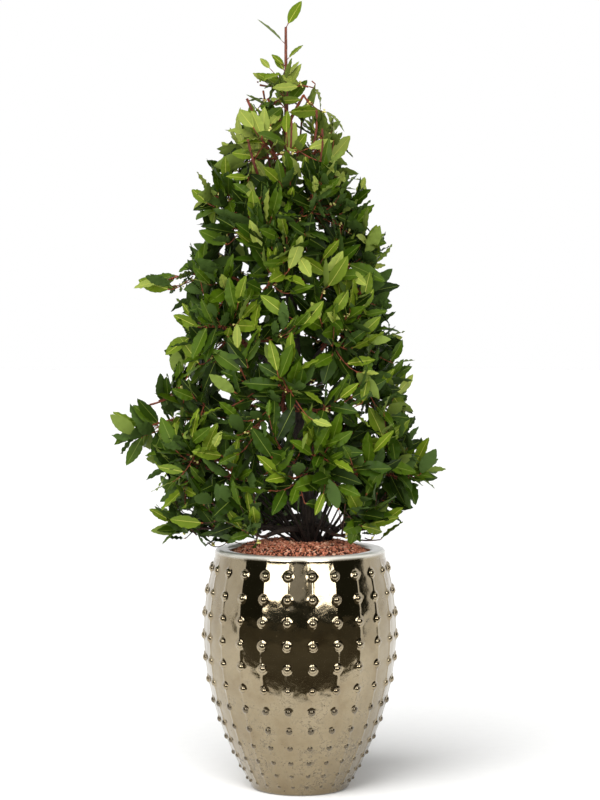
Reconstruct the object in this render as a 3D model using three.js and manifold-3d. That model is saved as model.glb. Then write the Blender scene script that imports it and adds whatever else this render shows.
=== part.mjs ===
// A bay tree trained as a cone, standing in a barrel-shaped glazed pot with rows of studs.
//
// Millimetres, +Z up, the front faces -Y. The origin is the centre of the pot's flat underside.
// The tree is a whole leaning trunk that ends in a bare leader, boughs that climb away from it, and
// masses of foliage that share out the crown between them: each fills one sector of one tier. Its
// twigs and leaves grow from one stem by a seeded rule, and stand out of a small dense core.
import * as THREE from "three";
import { mergeVertices } from "three/addons/utils/BufferGeometryUtils.js";
import Module from "manifold-3d";

// ---------------------------------------------------------------- driving dimensions

const pot = {
  height: 530,
  bellyRadius: 212,
  bellyHeight: 350,
  footRadius: 104, // where the wall's curve would meet the ground
  footBevel: 9,
  neckRadius: 188,
  neckHeight: 514, // the wall's curve ends here and rounds over to the lip
  lipRadius: 177, // outer edge of the flat lip
  openingRadius: 156,
  openingDepth: 26, // straight part of the opening, under the lip
  wall: 17,
  floor: 24,
  cavitySides: 24,
};

const studs = {
  columns: 24,
  rows: 12,
  firstHeight: 489.6,
  pitch: 49.3, // between rows down to the belly, less where the pot narrows to its foot
  radius: 12,
  height: 6.8,
  turn: THREE.MathUtils.degToRad(7.5), // half a step: two columns stand level about the front
};

const grit = { edgeHeight: 514, moundHeight: 544, moundRadius: 84, slack: 0.5 };

const trunk = {
  foot: [26, 0], // where it stands on the grit, off the pot's axis
  cutHeight: 1673, // the leader's cut tip
  lean: 2.2, // power of the curve that brings it over to the crown's axis
  radii: [
    // height, radius
    [544.3, 30],
    [556, 22],
    [580, 17.5],
    [700, 15],
    [900, 12.5],
    [1150, 9.5],
    [1400, 6],
    [1560, 3.6],
    [1673, 2.7],
  ],
  flareLobes: 5,
  flareShare: 0.22,
  flareFade: 16,
  sides: 10,
};

const crown = {
  axisX: -31,
  top: 1690,
  widest: 690,
  radius: 318,
  fullness: 0.5, // under 1 rounds the cone's flanks outwards
  underDepth: 190, // how far the round underside would reach below the widest level
  tilt: 0.45, // rise of a tier for each millimetre outwards
};

// Each tier: the height where it starts at the crown's face, how many masses share it, the azimuth of
// the first (0 is +X, anticlockwise from above), whether boughs carry it, and how far the leading
// shoot of each mass stands out past the crown's outline.
const tiers = [
  { low: 536, count: 5, turn: 180, boughRoot: 562, strays: [64, 0, 8, 0, 14] },
  { low: 690, count: 5, turn: 0, boughRoot: 596, strays: [42, 8, 0, 30, 0] },
  { low: 826, count: 4, turn: 180, boughRoot: 700, strays: [92, 0, 14, 22] },
  { low: 968, count: 4, turn: 45, boughRoot: 846, strays: [10, 26, 12, 0] },
  { low: 1104, count: 4, turn: 180, boughRoot: 1000, strays: [92, 6, 22, 18] },
  { low: 1244, count: 3, turn: 60, stemRoot: 1190, strays: [14, 34, 10] },
  { low: 1376, count: 3, turn: 0, stemRoot: 1320, strays: [12, 10, 34] },
  { low: 1496, count: 2, turn: 180, stemRoot: 1440, strays: [22, 18] },
];
const crownHigh = 1612; // the last tier ends here

// Small sprays on the bare leader: height, azimuth, climb above level, leaves.
const leaderSprays = [
  { height: 1640, azimuth: 165, climb: 42, leaves: 2 },
  { height: 1606, azimuth: -12, climb: 48, leaves: 3 },
  { height: 1582, azimuth: 200, climb: 40, leaves: 3 },
];
const tipLeaf = { climb: 62, azimuth: -8, length: 66, width: 27 };

const bough = {
  share: 0.43, // of the way from the crown's axis to its face
  rootRadius: 8,
  tipRadius: 5,
  sides: 5,
  steps: 2,
  climb: 9, // up the trunk from one bough of a tier to the next
  lowestLift: 34, // of the lowest boughs' tips over their tier's low level
  bend: 0.55, // where it bends, as a share of its length
  arch: 0.1, // how far it arches up there, as a share of its length
  insideMass: 12, // how far it may run into its mass
};
const stem = {
  rootRadius: 5.4,
  tipRadius: 3.4,
  steps: 2,
  climb: 14, // up the trunk from one stem of a tier to the next
  arch: 0.05,
  carryOn: 0.4, // share of its length that it keeps its bough's heading
  tipLift: 12, // of its tip over the middle of its tier
  lowestTipLift: -18,
  strayFree: 20, // a stem that strays further than this hangs
  strayHang: 0.9, // by this share of the rest
  bare: 0.72, // share of its length before its own leaves
  firstTwig: 0.05, // share of its length where the first twig can leave it, on a bough
  firstFromTrunk: 0.3, // and on the trunk
};
const core = { share: 0.55, reach: 0.74, clear: 22 }; // of a mass's space; clear of its inner edge
const twig = {
  rootRadius: 2.8,
  tipRadius: 2.2,
  steps: 1,
  area: 14200, // of the crown's face for each twig
  golden: 0.618034, // step aside from one aim to the next, as a share of the sector
  fan: 0.9, // how much of the sector the aims spread over
  aimFrom: 0.3, // in its own slice of the tier, an aim lies from here
  aimSpread: 0.4, // over this share of the slice
  last: 0.85, // share of the stem's length where the last one can leave it
  asideEarlier: 1.7, // how much earlier an aim to the side leaves the stem
  leaveFrom: 0.8, // least share of that place on the stem
  leaveSpread: 0.4,
  inset: 66, // of its end from the crown's face
  insetFrom: 0.8, // least share of the inset
  insetSpread: 0.5,
  overRim: 16,
  bare: 0.25,
};
const leaf = {
  length: 134,
  width: 64,
  shrink: 0.28, // of its size from the widest level to the crown's top
  thickness: 3,
  shoulder: 0.46, // the widest place, as a share of the length
  droop: 0.07,
  divergence: 50,
  tipDivergence: 14, // of the last leaf of a twig
  divergenceSpread: 24,
  rise: 0.28,
  lean: 0.12,
  faceOut: 0.8, // how its face turns: outwards, upwards, and at random to the twig's two sides
  faceUp: 0.6,
  faceAcross: 0.9,
  faceOver: 0.5,
  smallest: 0.84, // of its size
  sizeSpread: 0.3,
  spacing: 16,
  golden: 137.5,
  spinSpread: 0.6, // radians round the twig, and more at each try
  spinPerTry: 0.9,
  shrinkPerTry: 0.05,
  overhang: 34, // how far a leaf may stand over the sides of its mass's space, where nothing is
  overRim: 6,
  clear: 1,
  tries: 10,
};
const bud = { radius: 4.2, fromHeight: 960, share: 0.3 };
const gap = 0.35; // between pieces that meet
const seed = 20;

// ---------------------------------------------------------------- helpers

const wasm = await Module();
wasm.setup();
const { Manifold, Mesh } = wasm;
const { degToRad } = THREE.MathUtils;
const UP = new THREE.Vector3(0, 0, 1);

// A repeatable stream of numbers from 0 to 1: a linear congruential generator.
function stream(number) {
  let state = Math.imul(number + 1, 2654435761) >>> 0;
  const next = () => {
    state = (Math.imul(state, 1664525) + 1013904223) >>> 0;
    return state / 2 ** 32;
  };
  next();
  next();
  return next;
}

// Turns a geometry into a solid, with its shared vertices merged.
function solidOf(geometry) {
  const bare = new THREE.BufferGeometry();
  bare.setAttribute("position", geometry.getAttribute("position"));
  bare.setIndex(geometry.getIndex());
  const merged = mergeVertices(bare, 1e-4);
  return new Manifold(
    new Mesh({
      numProp: 3,
      vertProperties: merged.getAttribute("position").array,
      triVerts: new Uint32Array(merged.getIndex().array),
    }),
  );
}

// The largest body of a solid as a geometry. A loose scrap or a sealed hollow is a body too, and goes.
function geometryOf(solid) {
  const bodies = solid.decompose();
  const main = bodies.reduce((a, b) => (b.volume() > a.volume() ? b : a));
  const { vertProperties, triVerts } = main.getMesh();
  const geometry = new THREE.BufferGeometry();
  geometry.setAttribute("position", new THREE.BufferAttribute(vertProperties, 3));
  geometry.setIndex(new THREE.BufferAttribute(triVerts, 1));
  geometry.computeVertexNormals();
  return geometry;
}

// A closed geometry from points and triangles.
function closedGeometry(points, triangles) {
  const geometry = new THREE.BufferGeometry();
  geometry.setFromPoints(points);
  geometry.setIndex(triangles.flat());
  return geometry;
}

const polar = (radius, angle, z) =>
  new THREE.Vector3(radius * Math.cos(angle), radius * Math.sin(angle), z);

// Straight-line reading of a table of [position, value] rows.
function read(table, at) {
  const next = table.findIndex(([position]) => position >= at);
  if (next <= 0) return table[next === 0 ? 0 : table.length - 1][1];
  const [[a, low], [b, high]] = [table[next - 1], table[next]];
  return low + ((high - low) * (at - a)) / (b - a);
}

// A limb: rings of points square to a curve, closed by flat ends. radiusAt takes the share of the
// way along the curve and the angle round it.
function limb(curve, radiusAt, sides, steps) {
  const first = curve.getTangent(0);
  const reference = Math.abs(first.z) < 0.8 ? UP : new THREE.Vector3(1, 0, 0);
  const points = [];
  const triangles = [];
  for (let i = 0; i <= steps; i++) {
    const share = i / steps;
    const centre = curve.getPoint(share);
    const along = curve.getTangent(share);
    const across = reference.clone().cross(along).normalize();
    const over = along.clone().cross(across);
    for (let k = 0; k < sides; k++) {
      const angle = (2 * Math.PI * k) / sides;
      const radius = radiusAt(share, angle);
      points.push(
        centre
          .clone()
          .addScaledVector(across, radius * Math.cos(angle))
          .addScaledVector(over, radius * Math.sin(angle)),
      );
    }
  }
  for (let i = 0; i < steps; i++) {
    for (let k = 0; k < sides; k++) {
      const [a, b] = [i * sides + k, i * sides + ((k + 1) % sides)];
      triangles.push([a, b, b + sides], [a, b + sides, a + sides]);
    }
  }
  const last = steps * sides;
  for (let k = 1; k < sides - 1; k++) {
    triangles.push([0, k + 1, k], [last, last + k, last + k + 1]);
  }
  return closedGeometry(points, triangles);
}

const taper = (root, tip) => (share) => root + (tip - root) * share;

// ---------------------------------------------------------------- pot and grit

// The wall's radius: one parabola below the belly and one above it.
function wallRadius(z) {
  const below = z < pot.bellyHeight;
  const end = below ? pot.footRadius : pot.neckRadius;
  const run = below ? pot.bellyHeight : pot.neckHeight - pot.bellyHeight;
  return pot.bellyRadius - (pot.bellyRadius - end) * ((z - pot.bellyHeight) / run) ** 2;
}

// Heights of the stud rows, from the top down. Below the belly the pitch shrinks with the girth and
// the slope.
function studHeights() {
  const heights = [studs.firstHeight];
  while (heights.length < studs.rows) {
    const z = Math.min(heights.at(-1), pot.bellyHeight);
    const girth = wallRadius(z) / pot.bellyRadius;
    const slope = wallRadius(z) - wallRadius(z - 1);
    heights.push(heights.at(-1) - (studs.pitch * girth) / Math.hypot(1, slope));
  }
  return heights;
}

// The studded wall: at each row, a stud is a four-sided point, and flat strips join the studs.
function potShell() {
  const points = [];
  const triangles = [];
  const add = (radius, angle, z) => points.push(polar(radius, angle, z)) - 1;
  const step = (2 * Math.PI) / studs.columns;
  const columnAngle = (k) => -Math.PI / 2 + studs.turn + k * step;

  // A plain ring has the two side points of every column, so that all rings match.
  const ring = (radius, z, halfAngle) =>
    Array.from({ length: studs.columns }, (_, k) => [
      add(radius, columnAngle(k) - halfAngle, z),
      add(radius, columnAngle(k) + halfAngle, z),
    ]);
  const quad = (a, b, c, d) => triangles.push([a, b, c], [a, c, d]); // anticlockwise from outside
  const plainHalf = step / 4;

  const rows = studHeights().map((z) => {
    const size = (studs.radius * wallRadius(z)) / pot.bellyRadius;
    const radius = wallRadius(z);
    const half = size / radius;
    const sides = ring(radius, z, half);
    const peaks = sides.map((_, k) => ({
      up: add(wallRadius(z + size), columnAngle(k), z + size),
      down: add(wallRadius(z - size), columnAngle(k), z - size),
      peak: add(radius + studs.height * (radius / pot.bellyRadius), columnAngle(k), z),
    }));
    return { sides, peaks };
  });
  for (const { sides, peaks } of rows) {
    sides.forEach(([left, right], k) => {
      const { up, down, peak } = peaks[k];
      triangles.push([peak, left, down], [peak, down, right]);
      triangles.push([peak, right, up], [peak, up, left]);
    });
  }

  // Strips between two stud rows: a narrow one in each column, a wide one between columns.
  for (let j = 0; j + 1 < rows.length; j++) {
    const [upper, lower] = [rows[j], rows[j + 1]];
    for (let k = 0; k < studs.columns; k++) {
      const after = (k + 1) % studs.columns;
      const [ul, ur] = upper.sides[k];
      const [ll, lr] = lower.sides[k];
      quad(ll, lower.peaks[k].up, upper.peaks[k].down, ul);
      quad(lower.peaks[k].up, lr, ur, upper.peaks[k].down);
      quad(lr, lower.sides[after][0], upper.sides[after][0], ur);
    }
  }

  // Plain bands above the first row and below the last, then the closing discs.
  const band = (lower, upper) => {
    for (let k = 0; k < studs.columns; k++) {
      const after = (k + 1) % studs.columns;
      quad(lower[k][0], lower[k][1], upper[k][1], upper[k][0]);
      quad(lower[k][1], lower[after][0], upper[after][0], upper[k][1]);
    }
  };
  const [top, bottom] = [rows[0], rows.at(-1)];
  const neck = ring(pot.neckRadius, pot.neckHeight, plainHalf);
  const shoulder = ring((pot.neckRadius + pot.lipRadius) / 2 + 3, pot.height - 4, plainHalf);
  const lip = ring(pot.lipRadius, pot.height, plainHalf);
  const heel = ring(wallRadius(pot.footBevel), pot.footBevel, plainHalf);
  const foot = ring(pot.footRadius - pot.footBevel, 0, plainHalf);
  for (let k = 0; k < studs.columns; k++) {
    const after = (k + 1) % studs.columns;
    const [tl, tr] = top.sides[k];
    const { up } = top.peaks[k];
    triangles.push([tl, up, neck[k][0]], [up, neck[k][1], neck[k][0]], [up, tr, neck[k][1]]);
    quad(tr, top.sides[after][0], neck[after][0], neck[k][1]);
    const [bl, br] = bottom.sides[k];
    const { down } = bottom.peaks[k];
    triangles.push([heel[k][0], down, bl], [heel[k][0], heel[k][1], down], [heel[k][1], br, down]);
    quad(heel[k][1], heel[after][0], bottom.sides[after][0], br);
  }
  band(neck, shoulder);
  band(shoulder, lip);
  band(foot, heel);
  const [low, high] = [add(0, 0, 0), add(0, 0, pot.height)];
  for (let k = 0; k < studs.columns; k++) {
    const after = (k + 1) % studs.columns;
    triangles.push([low, foot[k][1], foot[k][0]], [low, foot[after][0], foot[k][1]]);
    triangles.push([high, lip[k][0], lip[k][1]], [high, lip[k][1], lip[after][0]]);
  }
  return closedGeometry(points, triangles);
}

// The space inside the wall up to a height, with its walls moved in by slack.
function cavityProfile(slack) {
  const throat = pot.height - pot.openingDepth;
  const levels = [pot.floor + 8, 170, 350];
  return [
    new THREE.Vector2(0, pot.floor + slack),
    new THREE.Vector2(wallRadius(pot.floor) - pot.wall - 8 - slack, pot.floor + slack),
    ...levels.map((z) => new THREE.Vector2(wallRadius(z) - pot.wall - slack, z)),
    new THREE.Vector2(pot.openingRadius - slack, throat),
  ];
}

function makePot() {
  const rim = pot.height + 5;
  const profile = [
    ...cavityProfile(0),
    new THREE.Vector2(pot.openingRadius, rim),
    new THREE.Vector2(0, rim),
  ];
  const cavity = new THREE.LatheGeometry(profile, pot.cavitySides).rotateX(Math.PI / 2);
  return geometryOf(solidOf(potShell()).subtract(solidOf(cavity)));
}

function makeGrit() {
  const profile = [
    ...cavityProfile(grit.slack),
    new THREE.Vector2(pot.openingRadius - grit.slack, grit.edgeHeight),
    new THREE.Vector2((pot.openingRadius + grit.moundRadius) / 2, grit.moundHeight - 8),
    new THREE.Vector2(grit.moundRadius, grit.moundHeight),
    new THREE.Vector2(0, grit.moundHeight),
  ];
  return geometryOf(
    solidOf(new THREE.LatheGeometry(profile, pot.cavitySides).rotateX(Math.PI / 2)),
  );
}

// ---------------------------------------------------------------- trunk and boughs

// The trunk's centre line: it starts off the crown's axis and leans over to it.
class TrunkLine extends THREE.Curve {
  getPoint(share, target = new THREE.Vector3()) {
    const ground = grit.moundHeight + 0.3;
    const z = ground + (trunk.cutHeight - ground) * share;
    return target.copy(trunkCentre(z));
  }
  getTangent(share) {
    if (share === 0 || share === 1) return UP.clone(); // flat ends
    return super.getTangent(share);
  }
}

function trunkCentre(z) {
  const ground = grit.moundHeight + 0.3;
  const left = 1 - Math.min(1, Math.max(0, (z - ground) / (trunk.cutHeight - ground)));
  const x = crown.axisX + (trunk.foot[0] - crown.axisX) * left ** trunk.lean;
  return new THREE.Vector3(x, trunk.foot[1], z);
}

const trunkRadius = (z) => read(trunk.radii, z);

// The trunk, or a sleeve that stands proud of it by extra. Steps are close together at the foot.
function trunkGeometry(extra) {
  const line = new TrunkLine();
  const eased = new THREE.Curve();
  const ease = (share) => share ** 2;
  eased.getPoint = (share) => line.getPoint(ease(share));
  eased.getTangent = (share) => line.getTangent(ease(share));
  const radiusAt = (share, angle) => {
    const { z } = eased.getPoint(share);
    const rise = z - trunk.radii[0][0];
    const lobes = Math.cos(trunk.flareLobes * angle) * Math.exp(-rise / trunk.flareFade);
    return trunkRadius(z) * (1 + trunk.flareShare * lobes) + extra;
  };
  return limb(eased, radiusAt, trunk.sides, 14);
}

// How far the crown's outline is from its axis at a height.
function reach(z) {
  if (z >= crown.widest) {
    const share = Math.max(0, (crown.top - z) / (crown.top - crown.widest));
    return crown.radius * share ** crown.fullness;
  }
  const share = (crown.widest - z) / crown.underDepth;
  return crown.radius * Math.sqrt(Math.max(0, 1 - share * share));
}

const onCrown = (radius, azimuth, z) =>
  polar(radius, azimuth, z).add(new THREE.Vector3(crown.axisX, 0, 0));

// The space of each mass: its sector, its tier's low and high level, and the limb that feeds it.
function layOut() {
  const spaces = [];
  tiers.forEach((tier, level) => {
    const high = tiers[level + 1]?.low ?? crownHigh;
    const middle = (tier.low + high) / 2;
    const face = reach(middle);
    for (let i = 0; i < tier.count; i++) {
      const width = (2 * Math.PI) / tier.count;
      const azimuth = degToRad(tier.turn) + i * width;
      const inner = tier.boughRoot ? bough.share * face : 0;
      const lowest = tier.low + (level === 0 ? bough.lowestLift : 0);
      const tip = onCrown(inner, azimuth, Math.max(middle - crown.tilt * (face - inner), lowest));
      const boughRoot = tier.boughRoot + bough.climb * i;
      const root = trunkCentre(tier.boughRoot ? boughRoot : tier.stemRoot + stem.climb * i);
      spaces.push({
        name: `${level + 1}_${i + 1}`,
        number: spaces.length,
        level,
        azimuth,
        width,
        face,
        middle,
        low: tier.low,
        high,
        stray: tier.strays[i],
        inner: tier.boughRoot ? inner - bough.insideMass : 0,
        root,
        tip: tier.boughRoot ? tip : null,
      });
    }
  });
  return spaces;
}

// A bough climbs from inside the trunk to the inner edge of its mass and levels out on the way.
function boughLine({ root, tip }) {
  const control = root.clone().lerp(tip, bough.bend);
  control.z += bough.arch * root.distanceTo(tip);
  return new THREE.QuadraticBezierCurve3(root, control, tip);
}

// The stem of a mass carries on from its bough, or from the trunk, to the crown's face. One that
// strays out of the crown hangs lower.
function stemLine(space) {
  const hang = stem.strayHang * Math.max(space.stray - stem.strayFree, 0);
  const tipZ = space.middle + (space.level === 0 ? stem.lowestTipLift : stem.tipLift) - hang;
  const tipRadius = reach(tipZ) + space.stray - 0.5 * leaf.length;
  const end = onCrown(tipRadius, space.azimuth, tipZ);
  if (!space.tip) {
    const control = space.root.clone().lerp(end, 0.5);
    control.z += stem.arch * space.root.distanceTo(end);
    return new THREE.QuadraticBezierCurve3(space.root, control, end);
  }
  const heading = boughLine(space).getTangent(1);
  const start = space.tip.clone().addScaledVector(heading, gap);
  const control = start.clone().addScaledVector(heading, stem.carryOn * start.distanceTo(end));
  return new THREE.QuadraticBezierCurve3(start, control, end);
}

// ---------------------------------------------------------------- masses of foliage

// Whether a point lies in a mass's space. margin is its distance from the sector's sides and the
// tier's levels, below 0 where it may stand past them, and limit the most it is from the axis.
function inSpace(space, point, margin, limit) {
  const radius = Math.hypot(point.x - crown.axisX, point.y);
  const turn = Math.atan2(point.y, point.x - crown.axisX) - space.azimuth;
  const level = point.z - crown.tilt * (radius - space.face);
  const half = space.width / 2;
  return (
    radius > space.inner &&
    radius < limit &&
    radius * Math.sin(half - turn) > margin &&
    radius * Math.sin(half + turn) > margin &&
    (space.level === 0 || level > space.low + margin) &&
    level < space.high - margin
  );
}

// A point on a limb's centre line, which runs straight from ring to ring.
function onLimb(curve, share, steps) {
  const ring = Math.min(Math.floor(share * steps), steps - 1);
  const low = curve.getPoint(ring / steps);
  return low.lerp(curve.getPoint((ring + 1) / steps), share * steps - ring);
}

// The stem and twigs of a mass. Each twig aims at its own share of the mass's part of the crown's
// face, so that they spread evenly over it, and leaves the stem earlier the further aside it aims.
// bare is the share of a line that carries no leaves, as far as it runs through the core.
function skeleton(space) {
  const random = stream(seed * 100 + space.number);
  const main = stemLine(space);
  const first = space.tip ? stem.firstTwig : stem.firstFromTrunk;
  const lines = [{ line: main, sizes: stem, bare: stem.bare, stray: space.stray }];
  const count = Math.round((space.width * space.face * (space.high - space.low)) / twig.area);
  for (let i = 0; i < count; i++) {
    const aside = ((i + 0.5) * twig.golden) % 1 - 0.5;
    const slice = i + twig.aimFrom + twig.aimSpread * random();
    const level = space.low + (space.high - space.low) * (slice / count);
    const radius = reach(level) - twig.inset * (twig.insetFrom + twig.insetSpread * random());
    const z = Math.max(level + crown.tilt * (radius - space.face), pot.height + twig.overRim);
    const end = onCrown(radius, space.azimuth + twig.fan * aside * space.width, z);
    const straightness = 1 - twig.asideEarlier * Math.abs(aside);
    const nearness = straightness * (twig.leaveFrom + twig.leaveSpread * random());
    const share = first + (twig.last - first) * nearness;
    const start = onLimb(main, share, stem.steps);
    const line = new THREE.LineCurve3(start, end);
    let bare = twig.bare;
    while (bare < 0.9 && fromCore(space, line.getPoint(bare)) < 1) bare += 0.05;
    lines.push({ line, sizes: twig, bare, stray: 0 });
  }
  return lines;
}

// How far outside a mass's core a point is: under 1 is inside.
function fromCore(space, point) {
  const radius = Math.hypot(point.x - crown.axisX, point.y);
  const level = point.z - crown.tilt * (radius - space.face);
  const turn = Math.atan2(point.y, point.x - crown.axisX) - space.azimuth;
  const aside = Math.asin(Math.sin(turn)) / (0.5 * core.share * space.width);
  const up = (level - space.middle) / (0.5 * core.share * (space.high - space.low));
  const near = space.inner + core.clear;
  const outward = (2 * (radius - near)) / (core.reach * reach(level) - near) - 1;
  return Math.hypot(outward, aside, up);
}

// The dense heart of a mass: a faceted ball pressed into the middle of its space.
function coreGeometry(space) {
  const ball = new THREE.IcosahedronGeometry(1);
  const position = ball.getAttribute("position");
  const near = space.inner + core.clear;
  for (let i = 0; i < position.count; i++) {
    const [outward, aside, up] = [position.getX(i), position.getY(i), position.getZ(i)];
    const level = space.middle + 0.5 * core.share * (space.high - space.low) * up;
    const radius = near + (core.reach * reach(level) - near) * 0.5 * (1 + outward);
    const azimuth = space.azimuth + 0.5 * core.share * space.width * aside;
    const z = Math.max(level + crown.tilt * (radius - space.face), pot.height + twig.overRim);
    const { x, y } = onCrown(radius, azimuth, z);
    position.setXYZ(i, x, y, z);
  }
  return ball;
}

// A leaf is a thin wedge: root, two shoulders, a drooping tip and a keel point under the midrib.
function leafPoints(root, along, face, length, width) {
  const side = face.clone().cross(along);
  const at = (x, y, z) =>
    root.clone().addScaledVector(along, x).addScaledVector(side, y).addScaledVector(face, z);
  const shoulder = leaf.shoulder * length;
  return [
    at(0, 0, 0),
    at(shoulder, width / 2, 0),
    at(shoulder, -width / 2, 0),
    at(length, 0, -leaf.droop * length),
    at(shoulder, 0, -leaf.thickness),
  ];
}
const wedge = [
  [0, 2, 1],
  [1, 2, 3],
  [0, 1, 4],
  [0, 4, 2],
  [1, 3, 4],
  [2, 4, 3],
];

// One try at the leaf that a twig bears at a share of its length: it spirals round the twig, leans
// along it and upwards, and turns its face up and out.
function leafOnTwig(line, steps, share, turn, terminal, attempt, random) {
  const base = onLimb(line, share, steps);
  const along = line.getTangent(share);
  const across = UP.clone().cross(along).normalize();
  const over = along.clone().cross(across);
  const spin = turn + (random() - 0.5) * (leaf.spinSpread + leaf.spinPerTry * attempt);
  const divergence = degToRad(
    (terminal ? leaf.tipDivergence : leaf.divergence) + (random() - 0.5) * leaf.divergenceSpread,
  );
  const outward = new THREE.Vector3(base.x - crown.axisX, base.y, 0).normalize();
  const heading = along
    .clone()
    .multiplyScalar(Math.cos(divergence))
    .addScaledVector(across, Math.cos(spin) * Math.sin(divergence))
    .addScaledVector(over, Math.sin(spin) * Math.sin(divergence))
    .addScaledVector(UP, leaf.rise)
    .addScaledVector(outward, leaf.lean)
    .normalize();
  const face = outward
    .clone()
    .multiplyScalar(leaf.faceOut)
    .addScaledVector(UP, leaf.faceUp)
    .addScaledVector(across, (random() - 0.5) * leaf.faceAcross)
    .addScaledVector(over, (random() - 0.5) * leaf.faceOver);
  face.addScaledVector(heading, -face.dot(heading)).normalize();
  const height = Math.max(0, (base.z - crown.widest) / (crown.top - crown.widest));
  const spread = leaf.smallest + leaf.sizeSpread * random();
  const size = spread * (1 - leaf.shrinkPerTry * attempt) * (1 - leaf.shrink * height);
  return leafPoints(base, heading, face, leaf.length * size, leaf.width * size);
}

// Everything placed so far, so that a new leaf can keep off it: a box, a solid, and its owner.
const placed = [];
function keepOff(points, solid, owner) {
  placed.push({ box: new THREE.Box3().setFromPoints(points), solid, owner });
}
const pointsOf = (geometry) => {
  const position = geometry.getAttribute("position");
  return Array.from({ length: position.count }, (_, i) =>
    new THREE.Vector3().fromBufferAttribute(position, i),
  );
};

// A leaf may touch only the twig that bears it.
function isFree(points, solid, ownTwig) {
  const box = new THREE.Box3().setFromPoints(points).expandByScalar(leaf.clear);
  return placed.every(
    (other) =>
      other.owner === ownTwig ||
      !other.box.intersectsBox(box) ||
      other.solid.intersect(solid).isEmpty(),
  );
}

// The leaves of one twig, each tried a few times and given up if it leaves its space or hits
// something.
function leavesOnTwig(space, { line, sizes, bare, stray }, ownTwig, random) {
  const solids = [];
  const count = Math.max(2, Math.round((line.getLength() * (1 - bare)) / leaf.spacing) + 1);
  let turn = random() * 2 * Math.PI;
  for (let i = 0; i < count; i++) {
    const share = bare + ((0.985 - bare) * i) / (count - 1);
    turn += degToRad(leaf.golden);
    for (let attempt = 0; attempt < leaf.tries; attempt++) {
      const points = leafOnTwig(line, sizes.steps, share, turn, i === count - 1, attempt, random);
      const uneven = 0.96 + 0.1 * random();
      const fits = points.slice(1).every(
        (p) =>
          p.z > pot.height + leaf.overRim &&
          inSpace(space, p, -leaf.overhang, reach(p.z) * uneven + stray * share),
      );
      if (!fits) continue;
      const solid = solidOf(closedGeometry(points, wedge));
      if (!isFree(points, solid, ownTwig)) continue;
      keepOff(points, solid, "leaf");
      solids.push(solid);
      break;
    }
  }
  return solids;
}

// A knot of flower buds: one eight-faced ball that sits against a twig.
function budOn(line, random) {
  const centre = line.getPoint(0.3 + 0.3 * random());
  const ball = new THREE.OctahedronGeometry(bud.radius);
  ball.translate(centre.x, centre.y, centre.z + bud.radius * 0.8);
  return solidOf(ball);
}

// ---------------------------------------------------------------- leader

// A small spray on the leader: a short stem with leaves spread round its end.
function makeLeaderSpray({ height, azimuth, climb, leaves }, number, sleeve) {
  const random = stream(seed * 9000 + number);
  const root = trunkCentre(height);
  const heading = polar(Math.cos(degToRad(climb)), degToRad(azimuth), Math.sin(degToRad(climb)));
  const end = root.clone().addScaledVector(heading, 20);
  const line = new THREE.LineCurve3(root, end);
  const pieces = [solidOf(limb(line, taper(1.7, 1.2), 3, 1))];
  for (let i = 0; i < leaves; i++) {
    const along = heading.clone().addScaledVector(UP, 0.5 * i);
    along.addScaledVector(polar(1, degToRad(azimuth) + (i % 2 ? 1.5 : -1.5), 0), 0.35 * i);
    along.normalize();
    const face = UP.clone().addScaledVector(heading, -0.3 - 0.4 * random());
    face.addScaledVector(along, -face.dot(along)).normalize();
    const size = 0.62 + 0.1 * random();
    const start = line.getPoint(0.96 - 0.12 * i).addScaledVector(along, -1);
    pieces.push(
      solidOf(closedGeometry(
        leafPoints(start, along, face, leaf.length * size, leaf.width * size * 0.8),
        wedge,
      )),
    );
  }
  return geometryOf(pieces.reduce((sum, piece) => sum.add(piece)).subtract(sleeve));
}

// The last leaf stands on a short stalk over the leader's cut tip.
function makeTipLeaf() {
  const root = trunkCentre(trunk.cutHeight);
  root.z += gap;
  const azimuth = degToRad(tipLeaf.azimuth);
  const heading = polar(Math.cos(degToRad(tipLeaf.climb)), azimuth, Math.sin(degToRad(tipLeaf.climb)));
  const end = root.clone().addScaledVector(UP, 5).addScaledVector(heading, 4);
  const line = new THREE.QuadraticBezierCurve3(root, root.clone().addScaledVector(UP, 4), end);
  line.getTangent = (share) => (share === 0 ? UP.clone() : heading.clone());
  const face = new THREE.Vector3(-0.2, -1, 0.2);
  face.addScaledVector(heading, -face.dot(heading)).normalize();
  const start = end.clone().addScaledVector(heading, -2);
  const blade = leafPoints(start, heading, face, tipLeaf.length, tipLeaf.width);
  const stalk = solidOf(limb(line, taper(2, 1.3), 3, 2));
  return geometryOf(stalk.add(solidOf(closedGeometry(blade, wedge))));
}

// ---------------------------------------------------------------- assembly

const finishes = {
  glaze: new THREE.MeshStandardMaterial({ color: 0xb9a98a, roughness: 0.12, metalness: 0.9 }),
  grit: new THREE.MeshStandardMaterial({ color: 0x9a543f, roughness: 0.95, metalness: 0 }),
  bark: new THREE.MeshStandardMaterial({ color: 0x4b3a2c, roughness: 0.85, metalness: 0 }),
  foliage: new THREE.MeshStandardMaterial({ color: 0x4c6a20, roughness: 0.5, metalness: 0 }),
};

const plant = new THREE.Group();
function addPiece(name, geometry, finish) {
  const mesh = new THREE.Mesh(geometry, finishes[finish].clone());
  mesh.name = name;
  plant.add(mesh);
}

const sleeve = solidOf(trunkGeometry(gap + 0.15));
addPiece("pot", makePot(), "glaze");
addPiece("grit", makeGrit(), "grit");
addPiece("trunk", trunkGeometry(0), "bark");

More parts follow.
